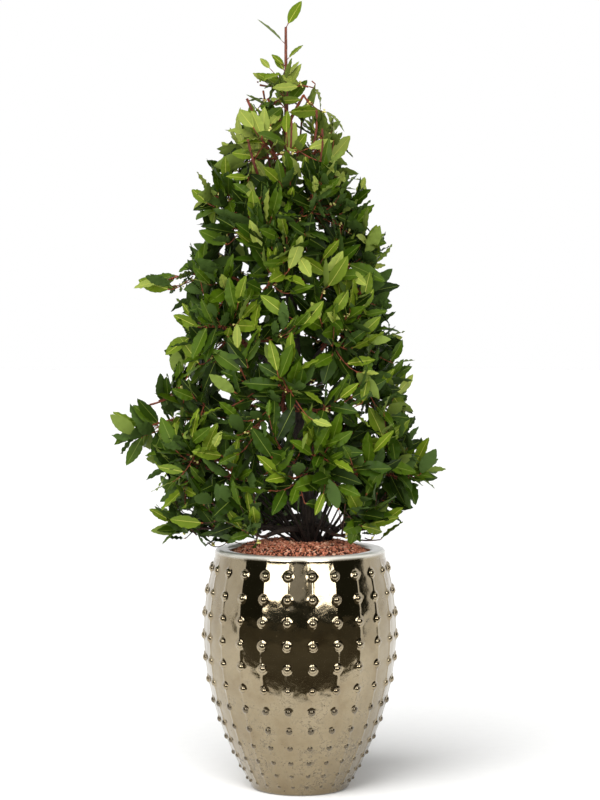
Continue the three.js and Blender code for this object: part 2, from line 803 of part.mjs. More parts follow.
// Limbs first: the trunk, then every bough, then every mass's stem and twigs.
keepOff(pointsOf(trunkGeometry(0)), sleeve, "trunk");
const spaces = layOut();
for (const space of spaces) {
  if (!space.tip) continue;
  const radii = taper(bough.rootRadius, bough.tipRadius);
  const whole = limb(boughLine(space), radii, bough.sides, bough.steps);
  addPiece(`bough_${space.name}`, geometryOf(solidOf(whole).subtract(sleeve)), "bark");
  keepOff(pointsOf(whole), solidOf(whole), "bough");
}
const twigName = (space, n) => `${space.name} twig ${n}`;
const masses = spaces.map((space) => {
  const lines = skeleton(space);
  const solids = lines.map(({ line, sizes }, n) => {
    const twigShape = limb(line, taper(sizes.rootRadius, sizes.tipRadius), 3, sizes.steps);
    keepOff(pointsOf(twigShape), solidOf(twigShape), twigName(space, n));
    return solidOf(twigShape);
  });
  const heart = coreGeometry(space);
  keepOff(pointsOf(heart), solidOf(heart), "core");
  return { space, lines, solids, heart: solidOf(heart), random: stream(seed * 5000 + space.number) };
});

// Then the leaves, one twig of each mass at a time, so that no mass crowds out its neighbours.
const mostTwigs = Math.max(...masses.map(({ lines }) => lines.length));
for (let n = 0; n < mostTwigs; n++) {
  for (const { space, lines, solids, random } of masses) {
    if (n >= lines.length) continue;
    solids.push(...leavesOnTwig(space, lines[n], twigName(space, n), random));
    const flowers = n > 0 && space.middle > bud.fromHeight && random() < bud.share;
    if (flowers) solids.push(budOn(lines[n].line, random));
  }
}
for (const { space, solids, heart } of masses) {
  const whole = solids.reduce((sum, piece) => sum.add(piece), heart);
  addPiece(`foliage_${space.name}`, geometryOf(space.tip ? whole : whole.subtract(sleeve)), "foliage");
}
leaderSprays.forEach((spray, i) => {
  addPiece(`leader_spray_${i + 1}`, makeLeaderSpray(spray, i, sleeve), "foliage");
});
addPiece("leader_tip_leaf", makeTipLeaf(), "foliage");

export default plant;
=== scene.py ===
"""A bay tree trained as a cone in a studded pot with a champagne lustre glaze.

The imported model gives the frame. The pot is a fine shell with domed studs, the crown grows on from
the limbs by the same seeded rule as the solids, carried to finer shoots and leaves of real size, and
the limbs have the relief of bark. Lengths are in millimetres until put_mesh() makes them metres.
"""

import functools
import math

import bpy
import numpy as np
from bpy.props import FloatProperty, FloatVectorProperty, IntProperty, PointerProperty
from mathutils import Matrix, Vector


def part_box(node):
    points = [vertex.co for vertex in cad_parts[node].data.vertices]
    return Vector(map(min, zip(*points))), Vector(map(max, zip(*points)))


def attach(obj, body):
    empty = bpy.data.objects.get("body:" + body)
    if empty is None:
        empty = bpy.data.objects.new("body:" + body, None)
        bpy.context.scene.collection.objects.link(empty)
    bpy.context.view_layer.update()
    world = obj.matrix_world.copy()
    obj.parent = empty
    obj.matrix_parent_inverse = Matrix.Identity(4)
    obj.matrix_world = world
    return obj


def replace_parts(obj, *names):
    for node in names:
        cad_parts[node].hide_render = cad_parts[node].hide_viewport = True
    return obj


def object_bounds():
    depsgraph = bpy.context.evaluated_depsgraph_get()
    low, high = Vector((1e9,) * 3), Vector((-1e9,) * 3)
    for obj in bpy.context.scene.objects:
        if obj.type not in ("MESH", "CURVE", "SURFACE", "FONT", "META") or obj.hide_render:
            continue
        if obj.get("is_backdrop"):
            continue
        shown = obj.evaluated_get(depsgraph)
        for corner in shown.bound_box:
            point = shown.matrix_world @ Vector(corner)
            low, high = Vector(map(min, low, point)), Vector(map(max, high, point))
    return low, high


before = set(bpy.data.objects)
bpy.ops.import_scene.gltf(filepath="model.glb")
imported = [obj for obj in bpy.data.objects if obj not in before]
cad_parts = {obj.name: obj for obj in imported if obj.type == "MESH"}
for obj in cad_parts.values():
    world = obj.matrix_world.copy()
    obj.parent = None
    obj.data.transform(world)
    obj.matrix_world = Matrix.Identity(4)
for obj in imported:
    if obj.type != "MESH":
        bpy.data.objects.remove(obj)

bl_info = {
    "name": "Bay topiary in a studded pot",
    "version": (1, 0, 0),
    "blender": (4, 5, 0),
    "location": "View3D > Sidebar > Bay topiary",
    "description": "Builds the pot, the grit, the limbs, the leafy crown and a studio around them",
    "category": "Object",
}

MM = 0.001
ANY_TURN = 6.28  # the most that something is turned at random, about a whole turn
UP = np.array([0.0, 0.0, 1.0])
TO_LIGHT = np.array([0.0, -1.0, 0.0])  # the side that the tree has grown with to the light
GOLDEN_TURN = math.radians(137.5)
SEED = 20  # the solids' seed

# ---------------------------------------------------------------- sizes from the frame


def node_box(name):
    """Lowest and highest corner of a solid, in millimetres."""
    low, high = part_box(name)
    return np.array(low) / MM, np.array(high) / MM


POT_HEIGHT = node_box("pot")[1][2]
GRIT_TOP = node_box("grit")[1][2]
TRUNK_LOW, TRUNK_HIGH = node_box("trunk")
CAD_LOW, CAD_HIGH = (np.array(corner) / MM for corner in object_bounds())
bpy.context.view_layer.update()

# ---------------------------------------------------------------- the rule's named sizes

BELLY_RADIUS, BELLY_HEIGHT = 212.0, 350.0
FOOT_RADIUS, FOOT_BEVEL = 104.0, 9.0
NECK_RADIUS, NECK_HEIGHT = 188.0, 514.0
LIP_RADIUS, OPENING_RADIUS = 177.0, 156.0
THROAT_HEIGHT = POT_HEIGHT - 26.0
POT_WALL, POT_FLOOR = 17.0, 24.0
STUD_COLUMNS, STUD_ROWS = 24, 12
FIRST_STUD_HEIGHT, STUD_PITCH = 489.6, 49.3
STUD_TURN = math.radians(7.5)
STUD_FOOT = 1.42  # radius of a stud's foot, as a share of its head's

GRIT_EDGE, MOUND_RADIUS = 514.0, 84.0
GROUND = TRUNK_LOW[2]
CUT_HEIGHT = TRUNK_HIGH[2]
TRUNK_FOOT_X = 26.0
TRUNK_LEAN = 2.2
TRUNK_RADII = np.array(
    [(GROUND, 30), (556, 22), (580, 17.5), (700, 15), (900, 12.5), (1150, 9.5), (1400, 6),
     (1560, 3.6), (CUT_HEIGHT, 2.7)]
)

AXIS_X = -31.0
CROWN_TOP, CROWN_WIDEST = 1690.0, 690.0
CROWN_RADIUS, CROWN_FULLNESS = 318.0, 0.5
CROWN_UNDER, CROWN_TILT = 190.0, 0.45
CROWN_HIGH = 1612.0
BOUGH_SHARE = 0.43
TWIG_AREA, TWIG_GOLDEN, TWIG_INSET = 14200.0, 0.618034, 66.0
SOLID_LEAF = 134.0  # the solids' leaves are this long, larger than life

# Each tier: low level, number of masses, azimuth of the first in degrees, where the first bough (or
# stem, in the last three) leaves the trunk, the step to the next, and how far each mass strays out.
TIERS = (
    (536, 5, 180, 562, 9, (64, 0, 8, 0, 14)),
    (690, 5, 0, 596, 9, (42, 8, 0, 30, 0)),
    (826, 4, 180, 700, 9, (92, 0, 14, 22)),
    (968, 4, 45, 846, 9, (10, 26, 12, 0)),
    (1104, 4, 180, 1000, 9, (92, 6, 22, 18)),
    (1244, 3, 60, 1190, 14, (14, 34, 10)),
    (1376, 3, 0, 1320, 14, (12, 10, 34)),
    (1496, 2, 180, 1440, 14, (22, 18)),
)
BOUGH_TIERS = 5
OPEN_TIERS = 6  # this tier, counted from 0, and those over it are open and young
FAR_STRAY = 40.0
STRAY_DROPS = (-20, 60, 50, 0, 0, 0, 0, 0)  # how far each tier's far sprays hang down

# Boughs and stems, with the solids' names for the same sizes.
BOUGH_BEND, BOUGH_ARCH, LOWEST_BOUGH = 0.55, 0.1, 34
BOUGH_ROOT_RADIUS, BOUGH_TIP_RADIUS = 8.0, 5.0
STEM_TIP_LIFT, LOWEST_TIP_LIFT = 12, -18
STRAY_FREE, STRAY_HANG = 20, 0.9  # past the first, a mass hangs by this share of what it strays
STEM_CARRY_ON, STEM_ARCH = 0.4, 0.05
FIRST_TWIG, FIRST_FROM_TRUNK, LAST_TWIG = 0.05, 0.3, 0.85


# ---------------------------------------------------------------- settings


class PotSettings(bpy.types.PropertyGroup):
    """Sizes and colours of the pot and its grit."""

    stud_ball: FloatProperty(
        name="Stud ball", description="Radius of a stud's round head at the belly, in mm",
        default=9.3)
    stud_height: FloatProperty(
        name="Stud height", description="How far a stud stands out at the belly, in mm", default=6.8)
    stud_foot: FloatProperty(
        name="Stud foot", description="Height of the glaze gathered round a stud, in mm",
        default=1.7)
    facet: FloatProperty(
        name="Facets", description="How flat the wall is between two columns of studs",
        default=0.4, subtype="FACTOR", min=0, max=1)
    dents: FloatProperty(
        name="Dents", description="Height of the hand-made wall's slow waves, in mm", default=0.35)
    glaze: FloatVectorProperty(
        name="Glaze", description="Lustre glaze (sRGB)", subtype="COLOR_GAMMA", size=3,
        default=(0.59, 0.535, 0.425))
    grains: IntProperty(
        name="Grains", description="Number of granules on the soil", default=3000, min=10)


class TreeSettings(bpy.types.PropertyGroup):
    """Sizes of the tree's shoots and leaves."""

    leaf_length: FloatProperty(
        name="Leaf length", description="Length of a grown leaf, in mm", default=78.0)
    leaf_width: FloatProperty(
        name="Leaf width", description="Width as a share of the length", default=0.37,
        subtype="FACTOR")
    leaf_spacing: FloatProperty(
        name="Leaf spacing", description="Distance of leaves along a shoot, in mm", default=15.6)
    shoots_per_twig: IntProperty(
        name="Side shoots", description="Side shoots on each twig", default=4, min=1)
    bark_relief: FloatProperty(
        name="Bark relief", description="Height of the bark's ridges, in mm", default=0.7)


# ---------------------------------------------------------------- numbers and vectors


def stream(number):
    """A repeatable stream of numbers from 0 to 1, the same as the solids use: a linear
    congruential generator."""
    state = ((number + 1) * 2654435761) & 0xFFFFFFFF

    def draw():
        nonlocal state
        state = (state * 1664525 + 1013904223) & 0xFFFFFFFF
        return state / 2**32

    draw()
    draw()
    return draw


def unit(vectors):
    """Vectors divided by their length."""
    return vectors / np.maximum(np.linalg.norm(vectors, axis=-1, keepdims=True), 1e-9)


def blend(low, high, share):
    """share of the way from low to high."""
    return low + (high - low) * share


def bezier(shoot, share):
    """Points on quadratic curves: (1-t)^2 a + 2t(1-t) b + t^2 c, for curves (..., 3, 3)."""
    t = np.asarray(share)[..., None]
    a, b, c = shoot[..., 0, :], shoot[..., 1, :], shoot[..., 2, :]
    return (1 - t) ** 2 * a + 2 * t * (1 - t) * b + t**2 * c


def bezier_heading(shoot, share):
    """Unit tangents of those curves: (1-t)(b-a) + t(c-b)."""
    t = np.asarray(share)[..., None]
    a, b, c = shoot[..., 0, :], shoot[..., 1, :], shoot[..., 2, :]
    return unit((1 - t) * (b - a) + t * (c - b))


def sideways(heading):
    """Two unit vectors square to each heading: a level one, and the one over it."""
    across = unit(np.cross(UP, heading) + np.array([1e-6, 0, 0]))
    return across, np.cross(heading, across)


def turns(count):
    """Angles at even steps once round."""
    return np.linspace(0, 2 * math.pi, count, endpoint=False)


def level_at(angle):
    """Level unit vectors at these angles."""
    return np.stack([np.cos(angle), np.sin(angle), 0 * angle], -1)


def ripples(points, wavelength, number, waves=12):
    """A smooth random field from -1 to 1: the mean of sines in random directions."""
    rng = np.random.default_rng(SEED * 1000 + number)
    directions = unit(rng.normal(size=(waves, 3))) * (2 * math.pi / wavelength)
    directions *= rng.uniform(0.6, 1.6, size=(waves, 1))
    phases = rng.uniform(0, 2 * math.pi, size=waves)
    return np.sin(points @ directions.T + phases).sum(axis=-1) / math.sqrt(waves / 2) / 2


# ---------------------------------------------------------------- meshes


def put_mesh(name, vertices, polygons, materials, slots=None, smooth=True, rim=None):
    """Makes one object from an (n, 3) array in millimetres and a list of (m, corners) index
    arrays. slots holds the material number of each polygon, in the same order. rim says of each
    vertex whether it is on a sharp margin."""
    mesh = bpy.data.meshes.new(name)
    loops = np.concatenate([faces.ravel() for faces in polygons])
    corners = np.concatenate([np.full(len(faces), faces.shape[1]) for faces in polygons])
    mesh.vertices.add(len(vertices))
    mesh.vertices.foreach_set("co", (vertices * MM).astype(np.float32).ravel())
    mesh.loops.add(len(loops))
    mesh.loops.foreach_set("vertex_index", loops.astype(np.int32))
    mesh.polygons.add(len(corners))
    mesh.polygons.foreach_set("loop_start", (np.cumsum(corners) - corners).astype(np.int32))
    mesh.polygons.foreach_set("use_smooth", np.full(len(corners), smooth))
    for material in materials:
        mesh.materials.append(material)
    if slots is not None:
        mesh.polygons.foreach_set("material_index", np.asarray(slots, dtype=np.int32))
    mesh.update(calc_edges=True)
    if rim is not None:
        pairs = np.empty(2 * len(mesh.edges), dtype=np.int32)
        mesh.edges.foreach_get("vertices", pairs)
        mesh.edges.foreach_set("use_edge_sharp", rim[pairs].reshape(-1, 2).all(axis=1))
    if mesh.validate():
        raise RuntimeError(f"{name} has faces that Blender had to mend")
    piece = bpy.data.objects.new(name, mesh)
    bpy.context.scene.collection.objects.link(piece)
    return piece


def grid_faces(rows, columns, closed=False):
    """Quads between the points of a rows x columns grid, closed round the columns if asked."""
    row = np.arange(rows - 1)[:, None]
    column = np.arange(columns if closed else columns - 1)[None, :]
    after = (column + 1) % columns
    here, there = row * columns, (row + 1) * columns
    return np.stack([here + column, here + after, there + after, there + column], -1).reshape(-1, 4)


def end_caps(rows, columns):
    """The flat ends of a closed grid of rows x columns points, facing away from each other."""
    ring = np.arange(columns)
    return np.array([ring[::-1], (rows - 1) * columns + ring])


def copies(faces, count, stride):
    """The faces of one shape repeated for count shapes, each with stride vertices."""
    return (faces[None] + (np.arange(count) * stride)[:, None, None]).reshape(-1, faces.shape[1])


def tubes(curves, root_radii, tip_radii, sides, steps, ends=1.0):
    """Tapering tubes round quadratic curves, as far as ends (a share of each): at each step a ring
    of points square to the curve. Returns the vertices and the polygons, with flat ends."""
    share = np.linspace(0, 1, steps + 1) * np.broadcast_to(ends, len(curves))[:, None]
    centres = bezier(curves[:, None], share)
    heading = bezier_heading(curves[:, None], share)
    across, over = sideways(heading)
    radii = blend(np.asarray(root_radii)[:, None], np.asarray(tip_radii)[:, None], share)
    turn = turns(sides)
    ring = across[:, :, None] * np.cos(turn)[:, None] + over[:, :, None] * np.sin(turn)[:, None]
    points = centres[:, :, None] + ring * radii[:, :, None, None]
    stride = (steps + 1) * sides
    polygons = [copies(faces, len(curves), stride)
                for faces in (grid_faces(steps + 1, sides, closed=True), end_caps(steps + 1, sides))]
    return points.reshape(-1, 3), polygons


def stack(shapes):
    """Joins (vertices, polygons) pairs into one pair."""
    vertices, polygons, total = [], [], 0
    for points, faces in shapes:
        vertices.append(points)
        polygons.extend(group + total for group in faces)
        total += len(points)
    return np.concatenate(vertices), polygons


# ---------------------------------------------------------------- materials


def linear(hex_colour):
    """An sRGB hex colour such as "8a5b3c" as linear RGBA."""
    values = [int(hex_colour[i:i + 2], 16) / 255 for i in (0, 2, 4)]
    return (*(v / 12.92 if v <= 0.04045 else ((v + 0.055) / 1.055) ** 2.4 for v in values), 1.0)


def hex_of(colour):
    """A colour property (sRGB, 0 to 1) as hex."""
    return "".join(f"{round(255 * value):02x}" for value in colour)


def feed(target, inputs):
    """Sets sockets of a node to values, or links them to the sockets or nodes that feed them. A node
    feeds from its first output in use."""
    for name, value in inputs.items():
        if isinstance(value, bpy.types.Node):
            value = next(socket for socket in value.outputs if socket.enabled)
        if isinstance(value, bpy.types.NodeSocket):
            target.id_data.links.new(value, target.inputs[name])
        else:
            target.inputs[name].default_value = value


def node(tree, kind, inputs=None, **settings):
    """Adds one shader node. settings are its own properties, and inputs are as feed() takes them."""
    new = tree.nodes.new("ShaderNode" + kind)
    for name, value in settings.items():
        setattr(new, name, value)
    feed(new, inputs or {})
    return new


def new_material(name):
    """An empty node material: its tree, its surface shader and its Object coordinates."""
    material = bpy.data.materials.new(name)
    material.use_nodes = True
    tree = material.node_tree
    tree.nodes.clear()
    shader = node(tree, "BsdfPrincipled")
    node(tree, "OutputMaterial", {"Surface": shader})
    return material, tree, shader, node(tree, "TexCoord").outputs["Object"]


def ramp(tree, value, *stops):
    """A colour ramp on a value. Each stop is (position, hex colour)."""
    new = node(tree, "ValToRGB", {"Fac": value})
    elements = new.color_ramp.elements
    while len(elements) < len(stops):
        elements.new(0.5)
    for element, (position, colour) in zip(elements, stops):
        element.position = position
        element.color = linear(colour)
    return new


CRAZE_GAIN = 14.0  # how strongly craze lines show for the share of specks at a height


def lustre_glaze(name, bare=0.0):
    """Stoneware under a metallic lustre glaze, fired: mirror-bright, warm champagne, with a glassy
    coat that whitens the flanks, slow dents, fine orange peel, and dark pits, craze lines and worn
    specks that thicken towards the foot. The lip is pale and less metallic, a painted bright
    reflection. bare is how far the colour is darkened below 215 mm, a painted dark reflection on the
    low studs' heads."""
    material, tree, shader, place = new_material(name)
    # Noises by the size of their grains in mm: orange peel, clouds, pits and craze veins.
    peel, cloud, pits, veins = (
        node(tree, "TexNoise", {"Vector": place, "Scale": 1 / (size * MM), "Detail": detail,
                                "Roughness": rough})
        for size, detail, rough in ((7, 4.0, 0.6), (60, 4.0, 0.6), (6, 5.0, 0.75), (16, 3.0, 0.7)))
    # What changes with height, from one level in mm to another: specks, depth of colour, gloss and
    # a painted dark reflection towards the foot, and the lip's pale colour, a painted bright reflection.
    height = node(tree, "SeparateXYZ", {"Vector": place}).outputs["Z"]
    specks, deep, gloss, painted_dark_reflection, pale = (
        node(tree, "MapRange", {"Value": height, "From Min": start * MM, "From Max": end * MM,
                                "To Min": first, "To Max": last})
        for start, end, first, last in ((330, 130, 0.006, 0.07), (300, 20, 0.0, 0.55),
                                        (300, 120, 0.1, 0.2), (225, 205, 0.0, bare),
                                        (520, 527, 0.0, 0.9)))
    level = node(tree, "Math", {0: pits, 1: specks}, operation="ADD")
    pit = node(tree, "MapRange", {"Value": level, "From Min": 0.69, "From Max": 0.74})
    # Craze lines follow one contour of a noise, and show only where the cloud is thin. They are drawn
    # about 1.5 mm wide, wider than life, so that they show.
    craze = node(tree, "Math", {0: veins, 1: 0.5, 2: 0.022}, operation="COMPARE")
    thin = node(tree, "MapRange", {"Value": cloud, "From Min": 0.46, "From Max": 0.58, "To Max": 0.6})
    for share in (thin, specks, CRAZE_GAIN):
        craze = node(tree, "Math", {0: craze, 1: share}, operation="MULTIPLY")
    speck = node(tree, "Math", {0: craze, 1: pit}, operation="MAXIMUM", use_clamp=True)
    glaze = hex_of(bpy.context.scene.bay_pot.glaze)
    colour = ramp(tree, cloud, (0.3, "86765a"), (0.5, glaze), (0.72, "9f9176"))
    # The dark mixed in below 215 mm is a painted dark reflection, and the lip's pale colour a painted
    # bright one; the specks are the glaze's own.
    for share, over in ((deep, "6c5c3e"), (pale, "ecebe2"), (speck, "4c4435"), (painted_dark_reflection, "3a3020")):
        colour = node(tree, "Mix", {"Factor": share, "A": colour, "B": linear(over)}, data_type="RGBA")
    for share in (pale, speck):
        gloss = node(tree, "Math", {0: share, 1: 0.3, 2: gloss}, operation="MULTIPLY_ADD")
    fine = node(tree, "Bump", {"Height": peel, "Strength": 0.18, "Distance": 1 * MM})
    pocked = node(tree, "Bump", {"Height": speck, "Strength": 0.25, "Distance": 0.5 * MM,
                                 "Normal": fine}, invert=True)
    # The lip loses its metal so that its painted pale colour, a painted bright reflection, shows.
    metal = node(tree, "Math", {0: pale, 1: -0.95, 2: 1.0}, operation="MULTIPLY_ADD")
    feed(shader, {"Base Color": colour, "Metallic": metal, "Roughness": gloss, "Normal": pocked,
                  "Coat Weight": 0.6, "Coat Roughness": 0.08, "Coat IOR": 1.6})
    return material


def baked_clay(name, colour, dark):
    """Granules of crushed baked clay: matt, porous, and mottled by dust."""
    material, tree, shader, place = new_material(name)
    dust = node(tree, "TexNoise", {"Vector": place, "Scale": 1 / (3 * MM), "Detail": 3.0})
    rough = node(tree, "Bump", {"Height": dust, "Strength": 0.5, "Distance": 0.4 * MM})
    feed(shader, {"Base Color": ramp(tree, dust, (0.35, dark), (0.65, colour)), "Roughness": 0.9,
                  "Normal": rough})
    return material


def bark(name, light, dark):
    """Living bark of a bay: smooth grey-brown skin, stretched into fine lengthwise streaks, with
    small raised pores."""
    material, tree, shader, place = new_material(name)
    long_way = node(tree, "Mapping", {"Vector": place, "Scale": (1, 1, 0.25)})
    streak = node(tree, "TexNoise", {"Vector": long_way, "Scale": 1 / (4 * MM), "Detail": 4.0,
                                     "Roughness": 0.65})
    pore = node(tree, "TexVoronoi", {"Vector": place, "Scale": 1 / (9 * MM)})
    raised = node(tree, "MapRange", {"Value": pore, "From Min": 0.1, "From Max": 0.3,
                                     "To Min": 0.3, "To Max": 0.0})
    relief = node(tree, "Math", {0: streak, 1: raised}, operation="ADD")
    bump = node(tree, "Bump", {"Height": relief, "Strength": 0.5, "Distance": 0.6 * MM})
    feed(shader, {"Base Color": ramp(tree, relief, (0.35, dark), (0.7, light)), "Roughness": 0.8,
                  "Normal": bump})
    return material


def leaf_skin(name, colour, roughness):
    """A grown bay leaf: leathery, satin, plain green, with a fine net of veins that breaks up the
    gloss."""
    material, tree, shader, place = new_material(name)
    net = node(tree, "TexNoise", {"Vector": place, "Scale": 1 / (4 * MM), "Detail": 2.0})
    bump = node(tree, "Bump", {"Height": net, "Strength": 0.25, "Distance": 0.5 * MM})
    feed(shader, {"Base Color": linear(colour), "Roughness": roughness, "IOR": 1.45,
                  "Specular IOR Level": 0.16, "Normal": bump})
    return material


LEAF_TINTS = ("182703", "273b05", "3a4f08", "566814", "788438")
MIDRIB_TINTS, UNDERSIDE_TINTS = ("66742e", "a0a048"), ("3c5020", "647430")
STALK_TINT, BUD_TINT = "80482c", "d0ca78"


def leaf_materials():
    """The greens of grown and young leaves, dealt out by spray: the darker ones also carry painted shade
    inside the crown, the paler ones painted light and sheen outside and on top. Then a darker and a
    paler midrib and underside, for old and for young leaves, and the reddish stalk."""
    names = ("old_and_shaded_leaf", "grown_and_shaded_leaf", "leaf", "young_and_lit_leaf", "newest_and_sheen_leaf")
    greens = [leaf_skin(f"bay_{name}", tint, 0.42) for name, tint in zip(names, LEAF_TINTS)]
    others = [leaf_skin(f"bay_{part}_{age}", tint, roughness)
              for part, tints, roughness in (("midrib", MIDRIB_TINTS, 0.5),
                                             ("underside", UNDERSIDE_TINTS, 0.65))
              for age, tint in zip(("old", "young"), tints)]
    return [*greens, *others, leaf_skin("bay_leaf_stalk", STALK_TINT, 0.6)]


# ---------------------------------------------------------------- pot


DOME_RINGS, DOME_SIDES, DOME_SUNK = 5, 14, 1
FINE_STEP, COARSE_STEP = 2.1, 5.5  # between rows of the wall's mesh, at the studs and elsewhere
FADED_ROWS = 7  # the relief dies out over this many rows at both ends of the wall
LIP_BULGE = 0.6  # under 1, the lip is fuller than a quarter of an ellipse
RIB_HEIGHT, RIB_WIDTH = 0.85, 3.6
MOUTH_EDGE, THROAT_DEPTH, HOLLOW_WAIST = 7.0, 34, 170
DENT_WAVES = ((60, 1.0), (26, 0.5), (11, 0.12))  # wavelength and share of the wall's slow waves
STUD_TAPER = 1.3  # how much faster than the girth the studs' width shrinks


def wall_radius(z):
    """One parabola below the belly and one above it."""
    end = np.where(z < BELLY_HEIGHT, FOOT_RADIUS, NECK_RADIUS)
    run = np.where(z < BELLY_HEIGHT, BELLY_HEIGHT, NECK_HEIGHT - BELLY_HEIGHT)
    return BELLY_RADIUS - (BELLY_RADIUS - end) * ((z - BELLY_HEIGHT) / run) ** 2


def stud_heights():
    """Heights of the stud rows from the top down: below the belly the pitch shrinks with the girth
    and the slope."""
    heights = [FIRST_STUD_HEIGHT]
    while len(heights) < STUD_ROWS:
        z = min(heights[-1], BELLY_HEIGHT)
        slope = wall_radius(z) - wall_radius(z - 1)
        pitch = STUD_PITCH * wall_radius(z) / BELLY_RADIUS / math.hypot(1, slope)
        heights.append(heights[-1] - pitch)
    return np.array(heights)


def stud_size(height):
    """Width and height of the studs of one row, as shares of those at the belly: lower rows are
    smaller."""
    girth = float(wall_radius(min(height, BELLY_HEIGHT))) / BELLY_RADIUS
    return girth**STUD_TAPER, girth


def stud_domes(settings):
    """The studs' heads. Each is half of a flattened ball, b cos(t) out from its axis and h sin(t)
    over the wall, set square to the wall and sunk into it by a millimetre."""
    tilt = np.linspace(0, math.pi / 2, DOME_RINGS + 1)[:-1]
    turn = turns(DOME_SIDES)
    ring = np.stack([np.cos(turn), np.sin(turn)], -1)
    points = []
    for height in stud_heights():
        wide, high = stud_size(height)
        out = settings.stud_ball * wide * np.cos(tilt)
        over = (settings.stud_height * high + DOME_SUNK) * np.sin(tilt) - DOME_SUNK
        flat = (ring[None] * out[:, None, None]).reshape(-1, 2)
        dome = np.column_stack([flat, np.repeat(over, len(turn))])
        dome = np.concatenate([dome, [(0, 0, settings.stud_height * high)]])
        fall = float(wall_radius(height + 0.5) - wall_radius(height - 0.5))
        angle = -math.pi / 2 + STUD_TURN + np.arange(STUD_COLUMNS) * 2 * math.pi / STUD_COLUMNS
        level = level_at(angle)
        aside = np.stack([-np.sin(angle), np.cos(angle), 0 * angle], -1)
        outward = unit(level - UP * fall)
        upward = np.cross(outward, aside)
        place = level * float(wall_radius(height)) + UP * height
        points.append(place[:, None] + dome[None, :, :1] * aside[:, None]
                      + dome[None, :, 1:2] * upward[:, None] + dome[None, :, 2:] * outward[:, None])
    points = np.concatenate(points)
    count, corners = points.shape[:2]
    around = np.arange(len(turn))
    pole = corners - 1
    top = np.stack([pole - len(turn) + around, pole - len(turn) + (around + 1) % len(turn),
                    0 * around + pole], -1)
    faces = [grid_faces(len(tilt), len(turn), closed=True), top, around[::-1][None]]
    return points.reshape(-1, 3), [copies(group, count, corners) for group in faces]


def levels_round(centres, low, high, near, fine, coarse):
    """Levels from low to high with steps of fine within near of a centre, and of coarse between."""
    levels = [low]
    while levels[-1] < high - coarse / 2:
        z = levels[-1]
        step = fine if np.min(np.abs(centres - z)) < near else coarse
        levels.append(z + step)
    levels[-1] = high
    return np.array(levels)


def pot_shell(settings):
    """The pot's outer wall, lip and inside as one closed surface of revolution.

    The profile runs from the middle of the underside up the wall, over the round lip and down the
    inside. On the wall the radius is r(z) * facet(angle) + rib + feet + dents: between two
    columns of studs the wall is drawn towards a flat facet, a thin rib runs down each column, and
    the wall swells into a low hollow foot round each stud: foot * (1 - d / base)^2."""
    heights = stud_heights()
    base = STUD_FOOT * settings.stud_ball
    wall = levels_round(heights, FOOT_BEVEL, NECK_HEIGHT, base, FINE_STEP, COARSE_STEP)
    bevel = np.linspace(0, math.pi / 2, 5)[:-1]
    heel_radius = float(wall_radius(FOOT_BEVEL))
    heel = np.stack([heel_radius - FOOT_BEVEL * (1 - np.sin(bevel)),
                     FOOT_BEVEL * (1 - np.cos(bevel))], -1)
    lip = np.linspace(0, math.pi / 2, 9)[1:]
    over = np.stack([LIP_RADIUS + (NECK_RADIUS - LIP_RADIUS) * np.cos(lip) ** LIP_BULGE,
                     NECK_HEIGHT + (POT_HEIGHT - NECK_HEIGHT) * np.sin(lip) ** LIP_BULGE], -1)
    inner = np.linspace(0, math.pi / 2, 5)
    mouth = np.stack([OPENING_RADIUS + MOUTH_EDGE * (1 - np.sin(inner)),
                      POT_HEIGHT - MOUTH_EDGE * (1 - np.cos(inner))], -1)
    depth = np.array([THROAT_HEIGHT, THROAT_HEIGHT - THROAT_DEPTH, BELLY_HEIGHT, HOLLOW_WAIST,
                      POT_FLOOR + 8])
    inside = np.stack([wall_radius(depth) - POT_WALL, depth], -1)
    inside[0, 0] = OPENING_RADIUS
    profile = np.concatenate([
        [(FOOT_RADIUS * 0.5, 0.0)], heel, np.stack([wall_radius(wall), wall], -1), over,
        [(LIP_RADIUS - 6, POT_HEIGHT + 0.0)], mouth, inside,
        [(wall_radius(POT_FLOOR) - POT_WALL - 8, POT_FLOOR), (60, POT_FLOOR)],
    ])
    first, last = 1 + len(heel), 1 + len(heel) + len(wall)

    step = 2 * math.pi / STUD_COLUMNS
    half = base / BELLY_RADIUS
    offsets = np.concatenate([np.linspace(-half, half, 15), np.linspace(half, step - half, 6)[1:-1]])
    angles = (-math.pi / 2 + STUD_TURN + np.arange(STUD_COLUMNS)[:, None] * step + offsets).ravel()
    from_column = np.tile(np.where(offsets > step / 2, offsets - step, offsets), STUD_COLUMNS)

    radius = np.repeat(profile[:, :1], len(angles), axis=1)
    z = np.repeat(profile[:, 1:], len(angles), axis=1)
    on_wall = np.zeros(len(profile))
    on_wall[first:last] = 1
    ends = np.minimum(np.arange(len(profile)) - first + 1, last - np.arange(len(profile)))
    fade = on_wall * np.clip(ends / FADED_ROWS, 0, 1)
    flat = np.cos(step / 2) / np.cos(step / 2 - np.abs(from_column)) - 1
    radius = radius * (1 + settings.facet * flat[None, :] * fade[:, None])
    arc = from_column[None, :] * radius
    rib = RIB_HEIGHT * np.exp(-((arc / RIB_WIDTH) ** 2))
    radius = radius + rib * fade[:, None]
    for height in heights:
        wide, high = stud_size(height)
        slope = float(wall_radius(height) - wall_radius(height - 1))
        away = np.hypot(arc, (z - height) * math.hypot(1, slope)) / wide
        # Inside the head, the foot stays as high as it is at the head's edge.
        away = np.maximum(away, settings.stud_ball)
        foot = np.clip((base - away) / (base - settings.stud_ball), 0, 1) ** 2
        radius = radius + settings.stud_foot * high * foot * on_wall[:, None]
    points = np.stack([radius * np.cos(angles), radius * np.sin(angles), z], -1)
    wave = sum(share * ripples(points, wavelength, number)
               for number, (wavelength, share) in enumerate(DENT_WAVES, 1))
    points = points + level_at(angles) * (settings.dents * wave * fade[:, None])[..., None]

    rows, columns = z.shape
    return points.reshape(-1, 3), [grid_faces(rows, columns, closed=True), end_caps(rows, columns)]


